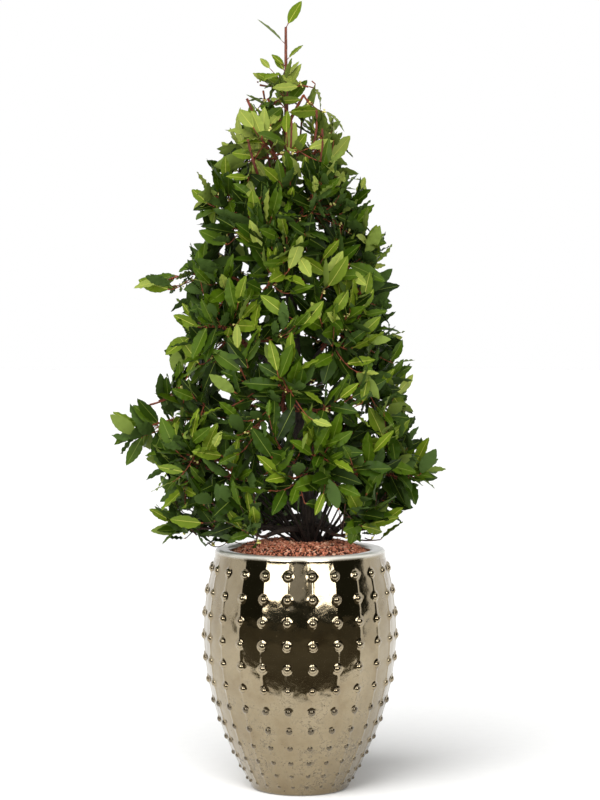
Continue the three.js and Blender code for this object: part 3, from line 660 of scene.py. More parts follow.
class BAY_OT_pot(bpy.types.Operator):
    """Makes the studded pot in its lustre glaze"""

    bl_idname = "bay.pot"
    bl_label = "Studded pot"

    def execute(self, context):
        vertices, polygons = pot_shell(context.scene.bay_pot)
        glaze = lustre_glaze("champagne_lustre_glaze")
        shell = put_mesh("pot_shell", vertices, polygons, [glaze])
        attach(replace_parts(shell, "pot"), "root")
        vertices, polygons = stud_domes(context.scene.bay_pot)
        # The studs' glaze is darkened below 215 mm, a painted dark reflection on the low heads.
        darkened_stud_glaze = lustre_glaze("lustre_glaze_painted_dark", bare=0.6)
        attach(put_mesh("pot_studs", vertices, polygons, [darkened_stud_glaze]), "root")
        return {"FINISHED"}


# ---------------------------------------------------------------- grit


MOUND_FALL = 8  # half-way down, the mound is this far below its top
GRAIN_LONG, GRAIN_WIDE, GRAIN_HIGH = (3.2, 6.4), (1.5, 2.5), (1.3, 2.2)  # half sizes
GRAIN_LIFT = (-0.6, 2.4)
# The name, the two colours and the share of each shade of granule. The colours are the grit's own
# red-brown made lighter, painted light where the crown shades the grit.
GRAIN_SHADES = (("red", "f3a283", "cf7f60", 0.4), ("brown", "d98a66", "a8603f", 0.3),
                ("pale", "ffd2b0", "eeae8c", 0.17), ("dark", "8a4c38", "4e2a1e", 0.13))


def grit_surface(radius):
    """Height of the mound of grit at a distance from the pot's axis, as on the solid."""
    middle = (OPENING_RADIUS + MOUND_RADIUS) / 2
    return np.interp(radius, [0, MOUND_RADIUS, middle, OPENING_RADIUS],
                     [GRIT_TOP, GRIT_TOP, GRIT_TOP - MOUND_FALL, GRIT_EDGE])


def grains(count):
    """Granules strewn evenly over the mound: each is a twelve-cornered ball, stretched to a random
    length, dented corner by corner and turned at random."""
    rng = np.random.default_rng(SEED)
    ratio = (1 + math.sqrt(5)) / 2
    corners = [(0, s, t * ratio) for s in (-1, 1) for t in (-1, 1)]
    ball = np.array(corners + [(z, x, y) for x, y, z in corners] + [(y, z, x) for x, y, z in corners])
    ball = ball / math.hypot(1, ratio)
    near = np.linalg.norm(ball[:, None] - ball[None], axis=-1)
    touching = (near > 0.1) & (near < 1.2)
    faces = [(a, b, c) for a in range(12) for b in range(a + 1, 12) for c in range(b + 1, 12)
             if touching[a, b] and touching[b, c] and touching[a, c]]
    faces = np.array([f if np.dot(np.cross(ball[f[1]] - ball[f[0]], ball[f[2]] - ball[f[0]]),
                                  ball[f[0]]) > 0 else f[::-1] for f in faces])
    number = np.arange(count)
    radius = (OPENING_RADIUS - 3.5) * np.sqrt((number + 0.5) / count)
    angle = number * GOLDEN_TURN + rng.normal(0, 0.03, count)
    size = np.stack([rng.uniform(*span, count) for span in (GRAIN_LONG, GRAIN_WIDE, GRAIN_HIGH)], -1)
    dented = ball[None] * rng.uniform(0.72, 1.15, (count, 12, 1)) * size[:, None]
    long_way = unit(rng.normal(size=(count, 3)) * [1, 1, 0.45])
    across, over = sideways(long_way)
    turned = (dented[..., :1] * long_way[:, None] + dented[..., 1:2] * across[:, None]
              + dented[..., 2:] * over[:, None])
    lift = rng.uniform(*GRAIN_LIFT, count)
    place = np.stack([radius * np.cos(angle), radius * np.sin(angle), grit_surface(radius) + lift], -1)
    return (turned + place[:, None]).reshape(-1, 3), [copies(faces, count, 12)], len(faces)


class BAY_OT_grit(bpy.types.Operator):
    """Spreads red-brown granules over the soil"""

    bl_idname = "bay.grit"
    bl_label = "Grit"

    def execute(self, context):
        count = context.scene.bay_pot.grains
        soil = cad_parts["grit"]
        soil.data.materials.clear()
        soil.data.materials.append(baked_clay("clay_dust", "58301f", "2c170f"))
        vertices, polygons, faces = grains(count)
        shades = [baked_clay(f"baked_clay_{name}", *colours) for name, *colours, _ in GRAIN_SHADES]
        shares = [row[-1] for row in GRAIN_SHADES]
        shade = np.random.default_rng(SEED + 1).choice(len(shades), count, p=shares)
        piece = put_mesh("grit_grains", vertices, polygons, shades, np.repeat(shade, faces),
                         smooth=False)
        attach(piece, "root")
        return {"FINISHED"}


# ---------------------------------------------------------------- trunk and boughs


def trunk_centre(z):
    """The trunk's centre line: it starts off the crown's axis and leans over to it."""
    left = 1 - np.clip((np.asarray(z, dtype=float) - GROUND) / (CUT_HEIGHT - GROUND), 0, 1)
    x = AXIS_X + (TRUNK_FOOT_X - AXIS_X) * left**TRUNK_LEAN
    return np.stack([x, 0 * x, np.asarray(z, dtype=float) + 0 * x], -1)


def reach(z):
    """How far the crown's outline is from its axis at a height."""
    above = np.clip((CROWN_TOP - z) / (CROWN_TOP - CROWN_WIDEST), 0, None) ** CROWN_FULLNESS
    below = np.sqrt(np.clip(1 - ((CROWN_WIDEST - z) / CROWN_UNDER) ** 2, 0, None))
    return CROWN_RADIUS * np.where(z >= CROWN_WIDEST, above, below)


def on_crown(radius, azimuth, z):
    """A point at a distance and azimuth from the crown's axis."""
    return np.array([AXIS_X + radius * math.cos(azimuth), radius * math.sin(azimuth), z])


def quadratic(start, control, end):
    """A curve as three rows: start, control point, end."""
    return np.array([start, control, end])


@functools.lru_cache(maxsize=None)
def lay_out():
    """The space of each mass, as the solids divide the crown: its sector, its levels, its bough
    and its stem."""
    spaces = []
    for level, (low, count, turn, root_z, climb, strays) in enumerate(TIERS):
        high = TIERS[level + 1][0] if level + 1 < len(TIERS) else CROWN_HIGH
        middle = (low + high) / 2
        face = float(reach(middle))
        for i in range(count):
            width = 2 * math.pi / count
            azimuth = math.radians(turn) + i * width
            on_bough = level < BOUGH_TIERS
            inner = BOUGH_SHARE * face if on_bough else 0.0
            inner_z = max(middle - CROWN_TILT * (face - inner), low + LOWEST_BOUGH * (level == 0))
            root = trunk_centre(root_z + climb * i)
            bough = None
            lift = STEM_TIP_LIFT if level else LOWEST_TIP_LIFT
            tip_z = middle + lift - STRAY_HANG * max(strays[i] - STRAY_FREE, 0)
            end = on_crown(float(reach(tip_z)) + strays[i] - 0.5 * SOLID_LEAF, azimuth, tip_z)
            if on_bough:
                tip = on_crown(inner, azimuth, inner_z)
                control = blend(root, tip, BOUGH_BEND) + UP * BOUGH_ARCH * np.linalg.norm(tip - root)
                bough = quadratic(root, control, tip)
                heading = unit(tip - control)
                control = tip + heading * STEM_CARRY_ON * np.linalg.norm(end - tip)
                stem = quadratic(tip, control, end)
            else:
                control = blend(root, end, 0.5) + UP * STEM_ARCH * np.linalg.norm(end - root)
                stem = quadratic(root, control, end)
            spaces.append({
                "name": f"{level + 1}_{i + 1}", "number": len(spaces), "level": level,
                "azimuth": azimuth, "width": width, "face": face, "low": low, "high": high,
                "stray": strays[i], "bough": bough, "stem": stem,
            })
    return spaces


TRUNK_SIDES, BOUGH_SIDES = 36, 14
FLARE_LOBES, FLARE_DEPTH, FLARE_HEIGHT = 5, 0.22, 16
BASAL_STEMS = 34
YOUNG_BARK_FROM = 1380  # the trunk's bark is young and red from this height on


def bark_limb(centres, radii, sides, relief, number):
    """A limb with bark: rings round a centre line, whose radius is the limb's own times
    1 + relief * ripples, drawn out along the limb. The ends are closed."""
    heading = unit(np.gradient(centres, axis=0))
    across, over = sideways(heading)
    turn = turns(sides)
    ring = across[:, None] * np.cos(turn)[:, None] + over[:, None] * np.sin(turn)[:, None]
    smooth = centres[:, None] + ring * radii[:, :, None]
    along = np.cumsum(np.linalg.norm(np.diff(centres, axis=0, prepend=centres[:1]), axis=1))
    stretched = ring * 20 + along[:, None, None] * np.array([0.0, 0.0, 0.35])
    bumps = ripples(stretched, 14, number) + 0.6 * ripples(smooth, 7, number + 1)
    points = smooth + ring * (relief * bumps)[..., None]
    rows = len(centres)
    return points.reshape(-1, 3), [grid_faces(rows, sides, closed=True), end_caps(rows, sides)]


def trunk_mesh(relief):
    """The whole trunk: taper and root flare as on the solid, ring by ring, with its flat foot."""
    share = np.concatenate([np.linspace(0, 0.12, 26)[:-1], np.linspace(0.12, 1, 130)])
    z = blend(GROUND, CUT_HEIGHT, share**1.4)
    turn = turns(TRUNK_SIDES)
    lobes = np.cos(FLARE_LOBES * turn)[None, :] * np.exp(-(z - GROUND) / FLARE_HEIGHT)[:, None]
    radii = np.interp(z, *TRUNK_RADII.T)[:, None] * (1 + FLARE_DEPTH * lobes)
    steady = np.clip((z - GROUND) / 6, 0, 1) * np.clip(radii[:, 0] / 10, 0.15, 1)
    points, polygons = bark_limb(trunk_centre(z), radii, TRUNK_SIDES, relief * steady[:, None], 31)
    points[:TRUNK_SIDES, 2] = GROUND
    return points, polygons


def basal_stems():
    """Thin old stems that fan out and up from round the trunk's foot into the lowest masses, each a
    tapering tube round a quadratic curve."""
    rng = np.random.default_rng(SEED + 3)
    count = BASAL_STEMS
    turn = np.arange(count) * GOLDEN_TURN + rng.normal(0, 0.25, count)
    level = level_at(turn)
    foot = np.array([TRUNK_FOOT_X, 0, GRIT_TOP - 3])
    out, rise = rng.uniform(110, 190, count), rng.uniform(75, 190, count)
    root = foot + level * rng.uniform(14, 40, count)[:, None]
    end = root + level * out[:, None] + UP * rise[:, None]
    control = root + level * (0.4 * out)[:, None] + UP * (rng.uniform(0.3, 0.75, count) * rise)[:, None]
    curves = np.stack([root, control, end], axis=1)
    return tubes(curves, rng.uniform(2.2, 3.4, count), np.full(count, 1.3), 7, 9)


def bough_mesh(space, relief):
    """A bough from inside the trunk to the tip where its mass begins."""
    share = np.linspace(0, 1, 30)
    centres = bezier(space["bough"], share)
    radii = np.repeat(blend(BOUGH_ROOT_RADIUS, BOUGH_TIP_RADIUS, share)[:, None], BOUGH_SIDES, axis=1)
    return bark_limb(centres, radii, BOUGH_SIDES, relief * 0.5, 40 + space["number"])


class BAY_OT_limbs(bpy.types.Operator):
    """Makes the trunk and the boughs with the relief of bark"""

    bl_idname = "bay.limbs"
    bl_label = "Trunk and boughs"

    def execute(self, context):
        relief = context.scene.bay_tree.bark_relief
        old_bark = bark("bay_bark", "3c3027", "18120f")
        young_bark = bark("bay_young_bark", "7d4534", "452519")
        vertices, polygons = trunk_mesh(relief)
        count = sum(len(faces) for faces in polygons)
        middles = vertices[polygons[0]].mean(axis=1)[:, 2]
        young = (middles > YOUNG_BARK_FROM).astype(int)
        slots = np.concatenate([young, np.zeros(count - len(middles), int)])
        trunk = put_mesh("trunk_bark", vertices, polygons, [old_bark, young_bark], slots)
        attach(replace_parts(trunk, "trunk"), "root")
        for space in lay_out():
            if space["bough"] is None:
                continue
            name = space["name"]
            vertices, polygons = bough_mesh(space, relief)
            piece = put_mesh(f"bough_bark_{name}", vertices, polygons, [old_bark])
            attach(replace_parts(piece, f"bough_{name}"), "root")
        return {"FINISHED"}


# ---------------------------------------------------------------- crown


TWIG_FAN, TWIG_ORDER, TWIG_FLOOR = 0.9, 1.7, 16  # twigs end at least TWIG_FLOOR over the pot
CELL_SHARE = 0.62
# The root and tip radius of each kind of shoot, and the share of it that bears no leaves.
STEM_SIZES, STEM_SHOOT_SIZES = (4.4, 1.6, 0.4), (1.5, 0.9, 0.25)
TWIG_SIZES, TWIG_SHOOT_SIZES = (2.4, 1.2, 0.3), (1.4, 0.8, 0.28)
TWIG_SAG, SHOOT_SAG, SHOOT_CARRY_ON, CELL_LEAN = 0.1, 0.22, 0.12, 0.25
SHOOT_STRAY, SHOOT_INSET, SHOOT_INSET_SPREAD = 0.8, 22, 46
SHOOTS_FROM = 20  # a side shoot that aims nearer to the crown's axis is left out
# A spray's green counts from 0, old and darkest, to 4, newest and palest. It starts at the first value,
# and height, standing out from the crown, chance and the open top add to it: partly young growth,
# partly painted light, paler greens where more light falls and a painted sheen on the open top.
FRESH, LIT_AND_FRESH_HIGH, LIT_AND_FRESH_OUT, FRESH_CHANCE, SHEEN_AND_FRESH_TOP = 1.2, 1.3, 1.3, 2.6, 1.2
MIDDLE_OUT = 0.75  # a spray this far out, as a share of the outline, is neither in nor out


def crown_height(z):
    """A height as a share of the way from the pot's lip to the crown's top."""
    return (z - POT_HEIGHT) / (CROWN_TOP - POT_HEIGHT)


def first_twigs(space):
    """The twigs of a mass by the solids' rule: each aims at its own share of the crown's face, and
    leaves the stem earlier the further aside it aims. Returns start, end and turn."""
    draw = stream(SEED * 100 + space["number"])
    first = FIRST_TWIG if space["bough"] is not None else FIRST_FROM_TRUNK
    span = space["high"] - space["low"]
    count = math.floor(space["width"] * space["face"] * span / TWIG_AREA + 0.5)
    twigs = []
    for i in range(count):
        aside = ((i + 0.5) * TWIG_GOLDEN) % 1 - 0.5
        level = space["low"] + span * ((i + 0.3 + 0.4 * draw()) / count)
        radius = float(reach(level)) - TWIG_INSET * (0.8 + 0.5 * draw())
        z = max(level + CROWN_TILT * (radius - space["face"]), POT_HEIGHT + TWIG_FLOOR)
        turn = space["azimuth"] + TWIG_FAN * aside * space["width"]
        nearness = (1 - TWIG_ORDER * abs(aside)) * (0.8 + 0.4 * draw())
        start = bezier(space["stem"], first + (LAST_TWIG - first) * nearness)
        twigs.append((start, on_crown(radius, turn, z), turn))
    return twigs


def side_shoots(start, end, turn, count, cell, stray, draw):
    """Finer shoots of one twig. They leave it at even steps and aim at points spread like
    sunflower seeds over the twig's own cell of the crown's face."""
    shoots = []
    level_way = np.array([-math.sin(turn), math.cos(turn), 0.0])
    outward = np.array([math.cos(turn), math.sin(turn), 0.0])
    face_way = unit(UP - CELL_LEAN * outward)
    for j in range(count):
        angle = j * GOLDEN_TURN + ANY_TURN * draw()
        spread = cell * math.sqrt((j + 0.5) / count)
        aim = end + level_way * spread * math.cos(angle) + face_way * spread * math.sin(angle)
        radius = math.hypot(aim[0] - AXIS_X, aim[1])
        if radius < SHOOTS_FROM:
            continue
        limit = float(reach(aim[2])) + SHOOT_STRAY * stray - SHOOT_INSET - SHOOT_INSET_SPREAD * draw()
        inward = (limit / radius) if radius > limit else blend(1, limit / radius, 0.6)
        aim[0] = AXIS_X + (aim[0] - AXIS_X) * inward
        aim[1] *= inward
        base = blend(start, end, 0.12 + 0.8 * (j + 0.5) / count)
        long = np.linalg.norm(aim - base)
        control = blend(base, aim, 0.5) + unit(end - start) * SHOOT_CARRY_ON * long
        control[2] -= SHOOT_SAG * long
        shoots.append(quadratic(base, control, aim))
    return shoots


@functools.lru_cache(maxsize=None)
def grow_crown(shoots_per_twig):
    """All shoots of the crown: arrays of curves, root and tip radii, the share of each that bears
    no leaves, how far it may stray out, its tier and its spray's tint."""
    rows = []
    for space in lay_out():
        draw = stream(SEED * 7000 + space["number"])
        level, tier_stray = space["level"], space["stray"]
        cell = CELL_SHARE * math.sqrt(TWIG_AREA)

        def add(curve, root_radius, tip_radius, bare, stray):
            x, y, z = curve[2]
            out = math.hypot(x - AXIS_X, y) / max(float(reach(z)), 1)
            # Greens grow paler with height, further out and in the open top: young growth, and painted
            # light and sheen.
            youth_and_light = (FRESH + LIT_AND_FRESH_HIGH * crown_height(z) + LIT_AND_FRESH_OUT * (out - MIDDLE_OUT)
                     + FRESH_CHANCE * (draw() - 0.5) + SHEEN_AND_FRESH_TOP * (level >= OPEN_TIERS))
            tint = int(np.clip(round(youth_and_light), 0, len(LEAF_TINTS) - 1))
            rows.append((curve, root_radius, tip_radius, bare, stray, level, tint))

        drop = STRAY_DROPS[level] if tier_stray > FAR_STRAY else 0
        stem = space["stem"] - np.array([0, 0.5, 1])[:, None] * UP * drop
        add(stem, *STEM_SIZES, tier_stray)
        stem_end = bezier(stem, 1.0)
        for curve in side_shoots(bezier(stem, 0.45), stem_end, space["azimuth"],
                                 shoots_per_twig, 0.5 * cell, tier_stray, draw):
            add(curve, *STEM_SHOOT_SIZES, tier_stray)
        few = shoots_per_twig - (level >= OPEN_TIERS) - (level > OPEN_TIERS)
        for start, end, turn in first_twigs(space):
            sag = TWIG_SAG * np.linalg.norm(end - start)
            twig = quadratic(start, blend(start, end, 0.5) - UP * sag, end)
            add(twig, *TWIG_SIZES, 0)
            for curve in side_shoots(start, end, turn, few, cell, 0, draw):
                add(curve, *TWIG_SHOOT_SIZES, 0)
    curves, *others = zip(*rows)
    return (np.array(curves), *(np.array(column) for column in others))


# Places along a leaf, as shares of its length. The stalk ends at the second. At the places with odd
# numbers, and at the root, a leaf has a whole section; between them only its toothed edge.
LEAF_PLACES = np.array([0, 0.07, 0.12, 0.17, 0.235, 0.3, 0.37, 0.44, 0.51, 0.58, 0.65, 0.72, 0.79,
                        0.86, 0.93])
SECTIONS = [0, *range(1, len(LEAF_PLACES), 2)]
LEAF_CORNERS = [5 * place + column for place in range(len(LEAF_PLACES)) for column in range(5)
                if place in SECTIONS or column in (0, 3)]  # then the tip
STALK_CORNERS = 8  # the first corners, which may touch the limb


def leaf_faces():
    """One leaf's polygons. A section's corners are left edge, two sides of the midrib, right edge and
    the keel below. Between two sections each half, above and below, is cut from its tooth to both
    ends of the midrib, so that the two sides never cross. Returns index arrays by number of corners,
    each with its kinds (0 top, 1 midrib, 2 underside, 3 stalk)."""
    tip = len(LEAF_CORNERS)
    at = {corner: number for number, corner in enumerate(LEAF_CORNERS)}
    faces = [(tuple(at[column] for column in range(5)), 3)]
    for a, b in zip(SECTIONS, [*SECTIONS[1:], None]):
        left, rib, other, right, keel = (at[5 * a + column] for column in range(5))
        far_left, far_rib, far_other, far_right, far_keel = (
            tip if b is None else at[5 * b + column] for column in range(5))
        if a == 0:
            faces += [((left, far_left, far_rib, rib), 3), ((rib, far_rib, far_other, other), 3),
                      ((other, far_other, far_right, right), 3), ((left, keel, far_keel, far_left), 3),
                      ((keel, right, far_right, far_keel), 3)]
            continue
        near, far = at[5 * (a + 1)], at[5 * (a + 1) + 3]
        faces += [((left, near, rib), 0), ((near, far_rib, rib), 0), ((near, far_left, far_rib), 0),
                  ((other, far, right), 0), ((other, far_other, far), 0),
                  ((far_other, far_right, far), 0), ((rib, far_rib, far_other, other), 1),
                  ((left, keel, near), 2), ((keel, far_keel, near), 2), ((far_keel, far_left, near), 2),
                  ((keel, right, far), 2), ((keel, far, far_keel), 2), ((far_keel, far, far_right), 2)]
    faces = [(tuple(dict.fromkeys(ring)), kind) for ring, kind in faces]
    return [(np.array([ring for ring, _ in faces if len(ring) == size]),
             np.array([kind for ring, kind in faces if len(ring) == size])) for size in (3, 4, 5)]


STALK_HALF, RIB_HALF, KEEL_DEPTH = 0.8, (0.7, 0.3), 0.55  # the midrib tapers from root to tip
RUFFLES = 28  # the angle that a leaf's waves run through along it
TOOTH_STEP, TOOTH_SPREAD = 0.035, 0.022  # shares of the leaf's half width


def leaf_blades(root, heading, face, length, width, fold, droop, wave, phase, teeth):
    """Leaf vertices, (n, corners, 3). At share u of the length and v of the half-width w(u):
    x = uL, y = v w, z = fold |v| w - droop u^2 L + wave |v| sin(28 u + phase + v), and
    w(u) = half * sin(pi s^0.92)^0.8 with s = (u - 0.05) / 0.95, over a thin stalk. The edge steps
    out at each tooth, by 1 + teeth."""
    side = np.cross(face, heading)
    u = LEAF_PLACES
    s = np.clip((u - 0.05) / 0.95, 0, 1)
    shape = np.sin(math.pi * s**0.92) ** 0.8
    half = np.maximum(width[:, None] / 2 * shape, STALK_HALF)
    rib = np.minimum(half * 0.5, blend(*RIB_HALF, u))
    jag = half[..., None] * (1 + teeth * (u > 0.1)[:, None])
    across = np.stack([-jag[..., 0], -rib, rib, jag[..., 1], 0 * half], -1)
    share = across / half[..., None]
    lift = fold[:, None, None] * np.abs(across)
    curl = -(droop * length)[:, None, None] * (u**2)[None, :, None]
    ruffle = wave[:, None, None] * np.abs(share) * np.sin(
        RUFFLES * u[None, :, None] + phase[:, None, None] + share)
    z = lift + curl + ruffle
    z[..., 4] -= KEEL_DEPTH
    x = (length[:, None] * u)[..., None] + 0 * z
    blade = (x[..., None] * heading[:, None, None] + across[..., None] * side[:, None, None]
             + z[..., None] * face[:, None, None]).reshape(len(root), -1, 3)[:, LEAF_CORNERS]
    tip = length[:, None] * heading - (droop * length)[:, None] * face
    return np.concatenate([blade, tip[:, None]], axis=1) + root[:, None]


def saw(rng, count):
    """How far each side's edge steps out at each place: small notches at the whole sections and
    teeth between them, each a little different."""
    step = np.where(np.arange(len(LEAF_PLACES)) % 2, -TOOTH_STEP, TOOTH_STEP)
    return step[None, :, None] + rng.normal(0, TOOTH_SPREAD, (count, len(LEAF_PLACES), 2))


LAST_LEAF = 0.99  # where a shoot's last leaf stands, as a share of the shoot
LEAST_LEAVES, SPARSE_TOP = 3, 0.45  # leaves stand this share further apart in the open top
ROOT_LEAN, LEAN_CLOSING, LAST_LEAN = 68, 22, 0.3  # degrees, degrees, radians
FACE_OUT, FACE_UP, FACE_LIGHT, FACE_SPREAD = 0.8, 0.6, 0.2, (0.9, 0.75)
SMALL_LEAVES, SMALL_SIZE = 0.14, 0.62  # share of leaves that stay small, and how small
THIN_TOP_FROM, THIN_TOP = 1390, 0.38  # the crown narrows by this much of the height over this level
LEAVES_TOP = 1588
LEAST_REACH = 26
FADE = 50  # over this height a mass stops straying

# Bare places: round the trunk's foot to a radius and a height, where this share of leaves is left out,
# the same for side shoots, and in front of the foot, where all are.
FOOT_CLEAR = (135, 650, 0.88)
SHOOTS_CLEAR = (170, 615, 0.8)
FRONT_X, FRONT_HALF, FRONT_DEPTH, FRONT_HEIGHT = 4, 82, 40, 618
TRUNK_GAP, BOUGH_GAP = 2, 8.5  # from a leaf to the trunk's skin, and to a bough's centre line
INNER, INMOST = 0.75, 0.6  # leaves this deep in the crown are older and take darker greens, partly painted shade, as shares of the outline
OLD_FROM, NEW_FROM = 0.45, 0.9  # shares of a shoot: leaves before are older, and after newer


def shoots_at_foot(curves):
    """Which side shoots hang low beside the trunk's foot, where the tree is bare."""
    tip, (radius, height, _) = curves[:, 2], SHOOTS_CLEAR
    return (np.hypot(tip[:, 0] - TRUNK_FOOT_X, tip[:, 1]) < radius) & (tip[:, 2] < height)


@functools.lru_cache(maxsize=None)
def crown_leaves(leaf_length, leaf_width, spacing, shoots_per_twig):
    """The leaves that all shoots bear. They spiral round the shoot, lean along it, upwards and
    outwards, and turn their faces up and out. A leaf that would leave the crown's outline, reach
    over the pot's lip too low or touch the trunk or a bough is skipped. Returns the vertices
    (n, corners, 3), the tier and the tint of each leaf, and how far along each shoot leaves go."""
    curves, _, _, bare, strays, tiers, tints = grow_crown(shoots_per_twig)
    rng = np.random.default_rng(SEED)
    lengths = np.linalg.norm(curves[:, 2] - curves[:, 0], axis=1)
    sparse = spacing * (1 + SPARSE_TOP * (tiers >= OPEN_TIERS))
    counts = np.maximum(LEAST_LEAVES, np.round(lengths * (1 - bare) / sparse)).astype(int) + 1
    owner = np.repeat(np.arange(len(curves)), counts)
    order = np.arange(len(owner)) - np.repeat(np.cumsum(counts) - counts, counts)
    last = order == counts[owner] - 1
    share = bare[owner] + (LAST_LEAF - bare[owner]) * order / (counts[owner] - 1)
    total = len(owner)

    root = bezier(curves[owner], share)
    along = bezier_heading(curves[owner], share)
    across, over = sideways(along)
    spin = (order * GOLDEN_TURN + rng.uniform(0, ANY_TURN, len(curves))[owner]
            + rng.normal(0, 0.3, total))
    lean = (np.where(last, LAST_LEAN, np.radians(ROOT_LEAN - LEAN_CLOSING * share))
            + rng.normal(0, 0.2, total))
    outward = unit((root - [AXIS_X, 0, 0]) * [1, 1, 0])
    # The lowest leaves hang a little, and from a third of the crown's height on they rise.
    rise = blend(-0.1, 0.3, np.clip(3.2 * crown_height(root[:, 2]), 0, 1)) + rng.normal(0, 0.22, total)
    heading = unit(along * np.cos(lean)[:, None]
                   + (across * np.cos(spin)[:, None] + over * np.sin(spin)[:, None])
                   * np.sin(lean)[:, None] + UP * rise[:, None])
    face = (outward * FACE_OUT + UP * FACE_UP + TO_LIGHT * FACE_LIGHT
            + across * rng.normal(0, FACE_SPREAD[0], total)[:, None]
            + over * rng.normal(0, FACE_SPREAD[1], total)[:, None])
    face = unit(face - heading * np.sum(face * heading, axis=1)[:, None])
    grown = np.where(rng.uniform(0, 1, total) < SMALL_LEAVES, SMALL_SIZE, 1.04 - 0.16 * share)
    length = leaf_length * grown * rng.uniform(0.72, 1.2, total)
    width = leaf_width * length * rng.uniform(0.86, 1.16, total)
    fold = rng.uniform(0.05, 0.4, total)
    droop = rng.normal(0.07, 0.09, total)
    wave = rng.uniform(0.6, 2.4, total)
    corners = leaf_blades(root, heading, face, length, width, fold, droop, wave,
                          rng.uniform(0, ANY_TURN, total), saw(rng, total))

    radius = np.hypot(corners[..., 0] - AXIS_X, corners[..., 1])
    z = corners[..., 2]
    uneven = blend(0.99, 1.05, rng.uniform(0, 1, total))[:, None]
    thin_top = THIN_TOP * np.clip(z - THIN_TOP_FROM, 0, None)
    tops = np.array([low for low, *_ in TIERS[1:]] + [CROWN_HIGH])
    lowered = STRAY_HANG * np.clip(strays - STRAY_FREE, 0, None) * (tiers > 0)
    hang = np.clip(((tops[tiers] - lowered)[owner][:, None] - z) / FADE, 0, 1)
    stray = (strays[owner] * np.clip(1.3 * share, 0, 1))[:, None] * hang
    limit = reach(z) * uneven + 4 - thin_top + stray
    fits = np.all(radius < np.maximum(limit, LEAST_REACH), axis=1)
    over_pot = np.hypot(corners[..., 0], corners[..., 1]) < BELLY_RADIUS + 4
    fits &= np.all(z > np.where(over_pot, POT_HEIGHT + 12, POT_HEIGHT - 2), axis=1)
    from_foot = np.hypot(root[:, 0] - TRUNK_FOOT_X, root[:, 1])
    open_foot = (from_foot < FOOT_CLEAR[0]) & (z.min(axis=1) < FOOT_CLEAR[1])
    fits &= ~(open_foot & (rng.uniform(0, 1, total) < FOOT_CLEAR[2]))
    fits &= ~(shoots_at_foot(curves) & (rng.uniform(0, 1, len(curves)) < SHOOTS_CLEAR[2]))[owner]
    before_foot = ((np.abs(corners[..., 0] - FRONT_X) < FRONT_HALF) & (corners[..., 1] < FRONT_DEPTH)
                   & (z < FRONT_HEIGHT))
    fits &= ~before_foot.any(axis=1)
    fits &= np.all((corners > CAD_LOW - 4) & (corners < CAD_HIGH + 4), axis=(1, 2))
    fits &= z.max(axis=1) < LEAVES_TOP
    blade = corners[:, STALK_CORNERS:]
    stands = np.interp(blade[..., 2], *TRUNK_RADII.T)
    off_trunk = np.linalg.norm((blade - trunk_centre(blade[..., 2]))[..., :2], axis=-1)
    fits &= np.all(off_trunk > stands + TRUNK_GAP, axis=1)
    for space in lay_out():
        if space["bough"] is not None:
            for centre in bezier(space["bough"], np.linspace(0.1, 1, 16)):
                fits &= np.all(np.linalg.norm(blade - centre, axis=-1) > BOUGH_GAP, axis=1)
    ends = np.zeros(len(curves))
    np.maximum.at(ends, owner[fits], share[fits])
    depth = np.hypot(root[:, 0] - AXIS_X, root[:, 1]) / np.maximum(reach(root[:, 2]), 1)
    open_top = tiers[owner] >= OPEN_TIERS
    # Leaves deep in the crown take darker greens, partly as older leaves and partly as painted shade. In
    # the open top they take paler ones, young and with a painted sheen.
    inner = (depth < INNER).astype(int) + (depth < INMOST)
    age_and_light_tint = tints[owner] - (share < OLD_FROM) + (share > NEW_FROM) + np.where(open_top, 1, -inner)
    newest = len(LEAF_TINTS) - 1
    age_and_light_tint = np.clip(age_and_light_tint, 0, np.where(open_top | (share > NEW_FROM), newest, newest - 1))
    return corners[fits], tiers[owner][fits], age_and_light_tint[fits], ends


def crown_of(settings):
    """The crown's leaves for the tree's settings."""
    return crown_leaves(settings.leaf_length, settings.leaf_width, settings.leaf_spacing,
                        settings.shoots_per_twig)


def leaf_piece(name, corners, tints, materials):
    """Joins leaves into one piece. The top of each takes its spray's green."""
    groups = leaf_faces()
    polygons = [copies(faces, len(corners), len(LEAF_CORNERS) + 1) for faces, _ in groups]
    greens, young = len(LEAF_TINTS), tints > 2
    slot_of = np.stack([tints, greens + young, greens + 2 + young, greens + 4 + 0 * tints], -1)
    slots = [slot_of[:, kinds].ravel() for _, kinds in groups]
    edge = [corner % 5 in (0, 3) and corner > 4 for corner in LEAF_CORNERS]
    return put_mesh(name, corners.reshape(-1, 3), polygons, materials, np.concatenate(slots),
                    rim=np.tile([*edge, True], len(corners)))


THICK = 2.0  # twigs with a thicker root are stems and first twigs
KEPT, KEPT_LOWEST = 0.6, 0.25  # the least share of a thick twig that is kept where leaves end sooner
BUD_CHANCES = np.array([0.15, 0.2, 0.3, 0.4, 0.5, 0.6, 0.7, 0.7])  # a shoot's, by tier
BUDS_IN_CLUSTER, CLUSTER_SPREAD, BUD_RADII, BUD_SIDES = 4, 2.6, (2.0, 3.2), 6
BUD_RINGS = ((0.62, -0.6), (1.0, 0.1), (0.6, 0.75))  # radius and height, as shares of a bud's radius


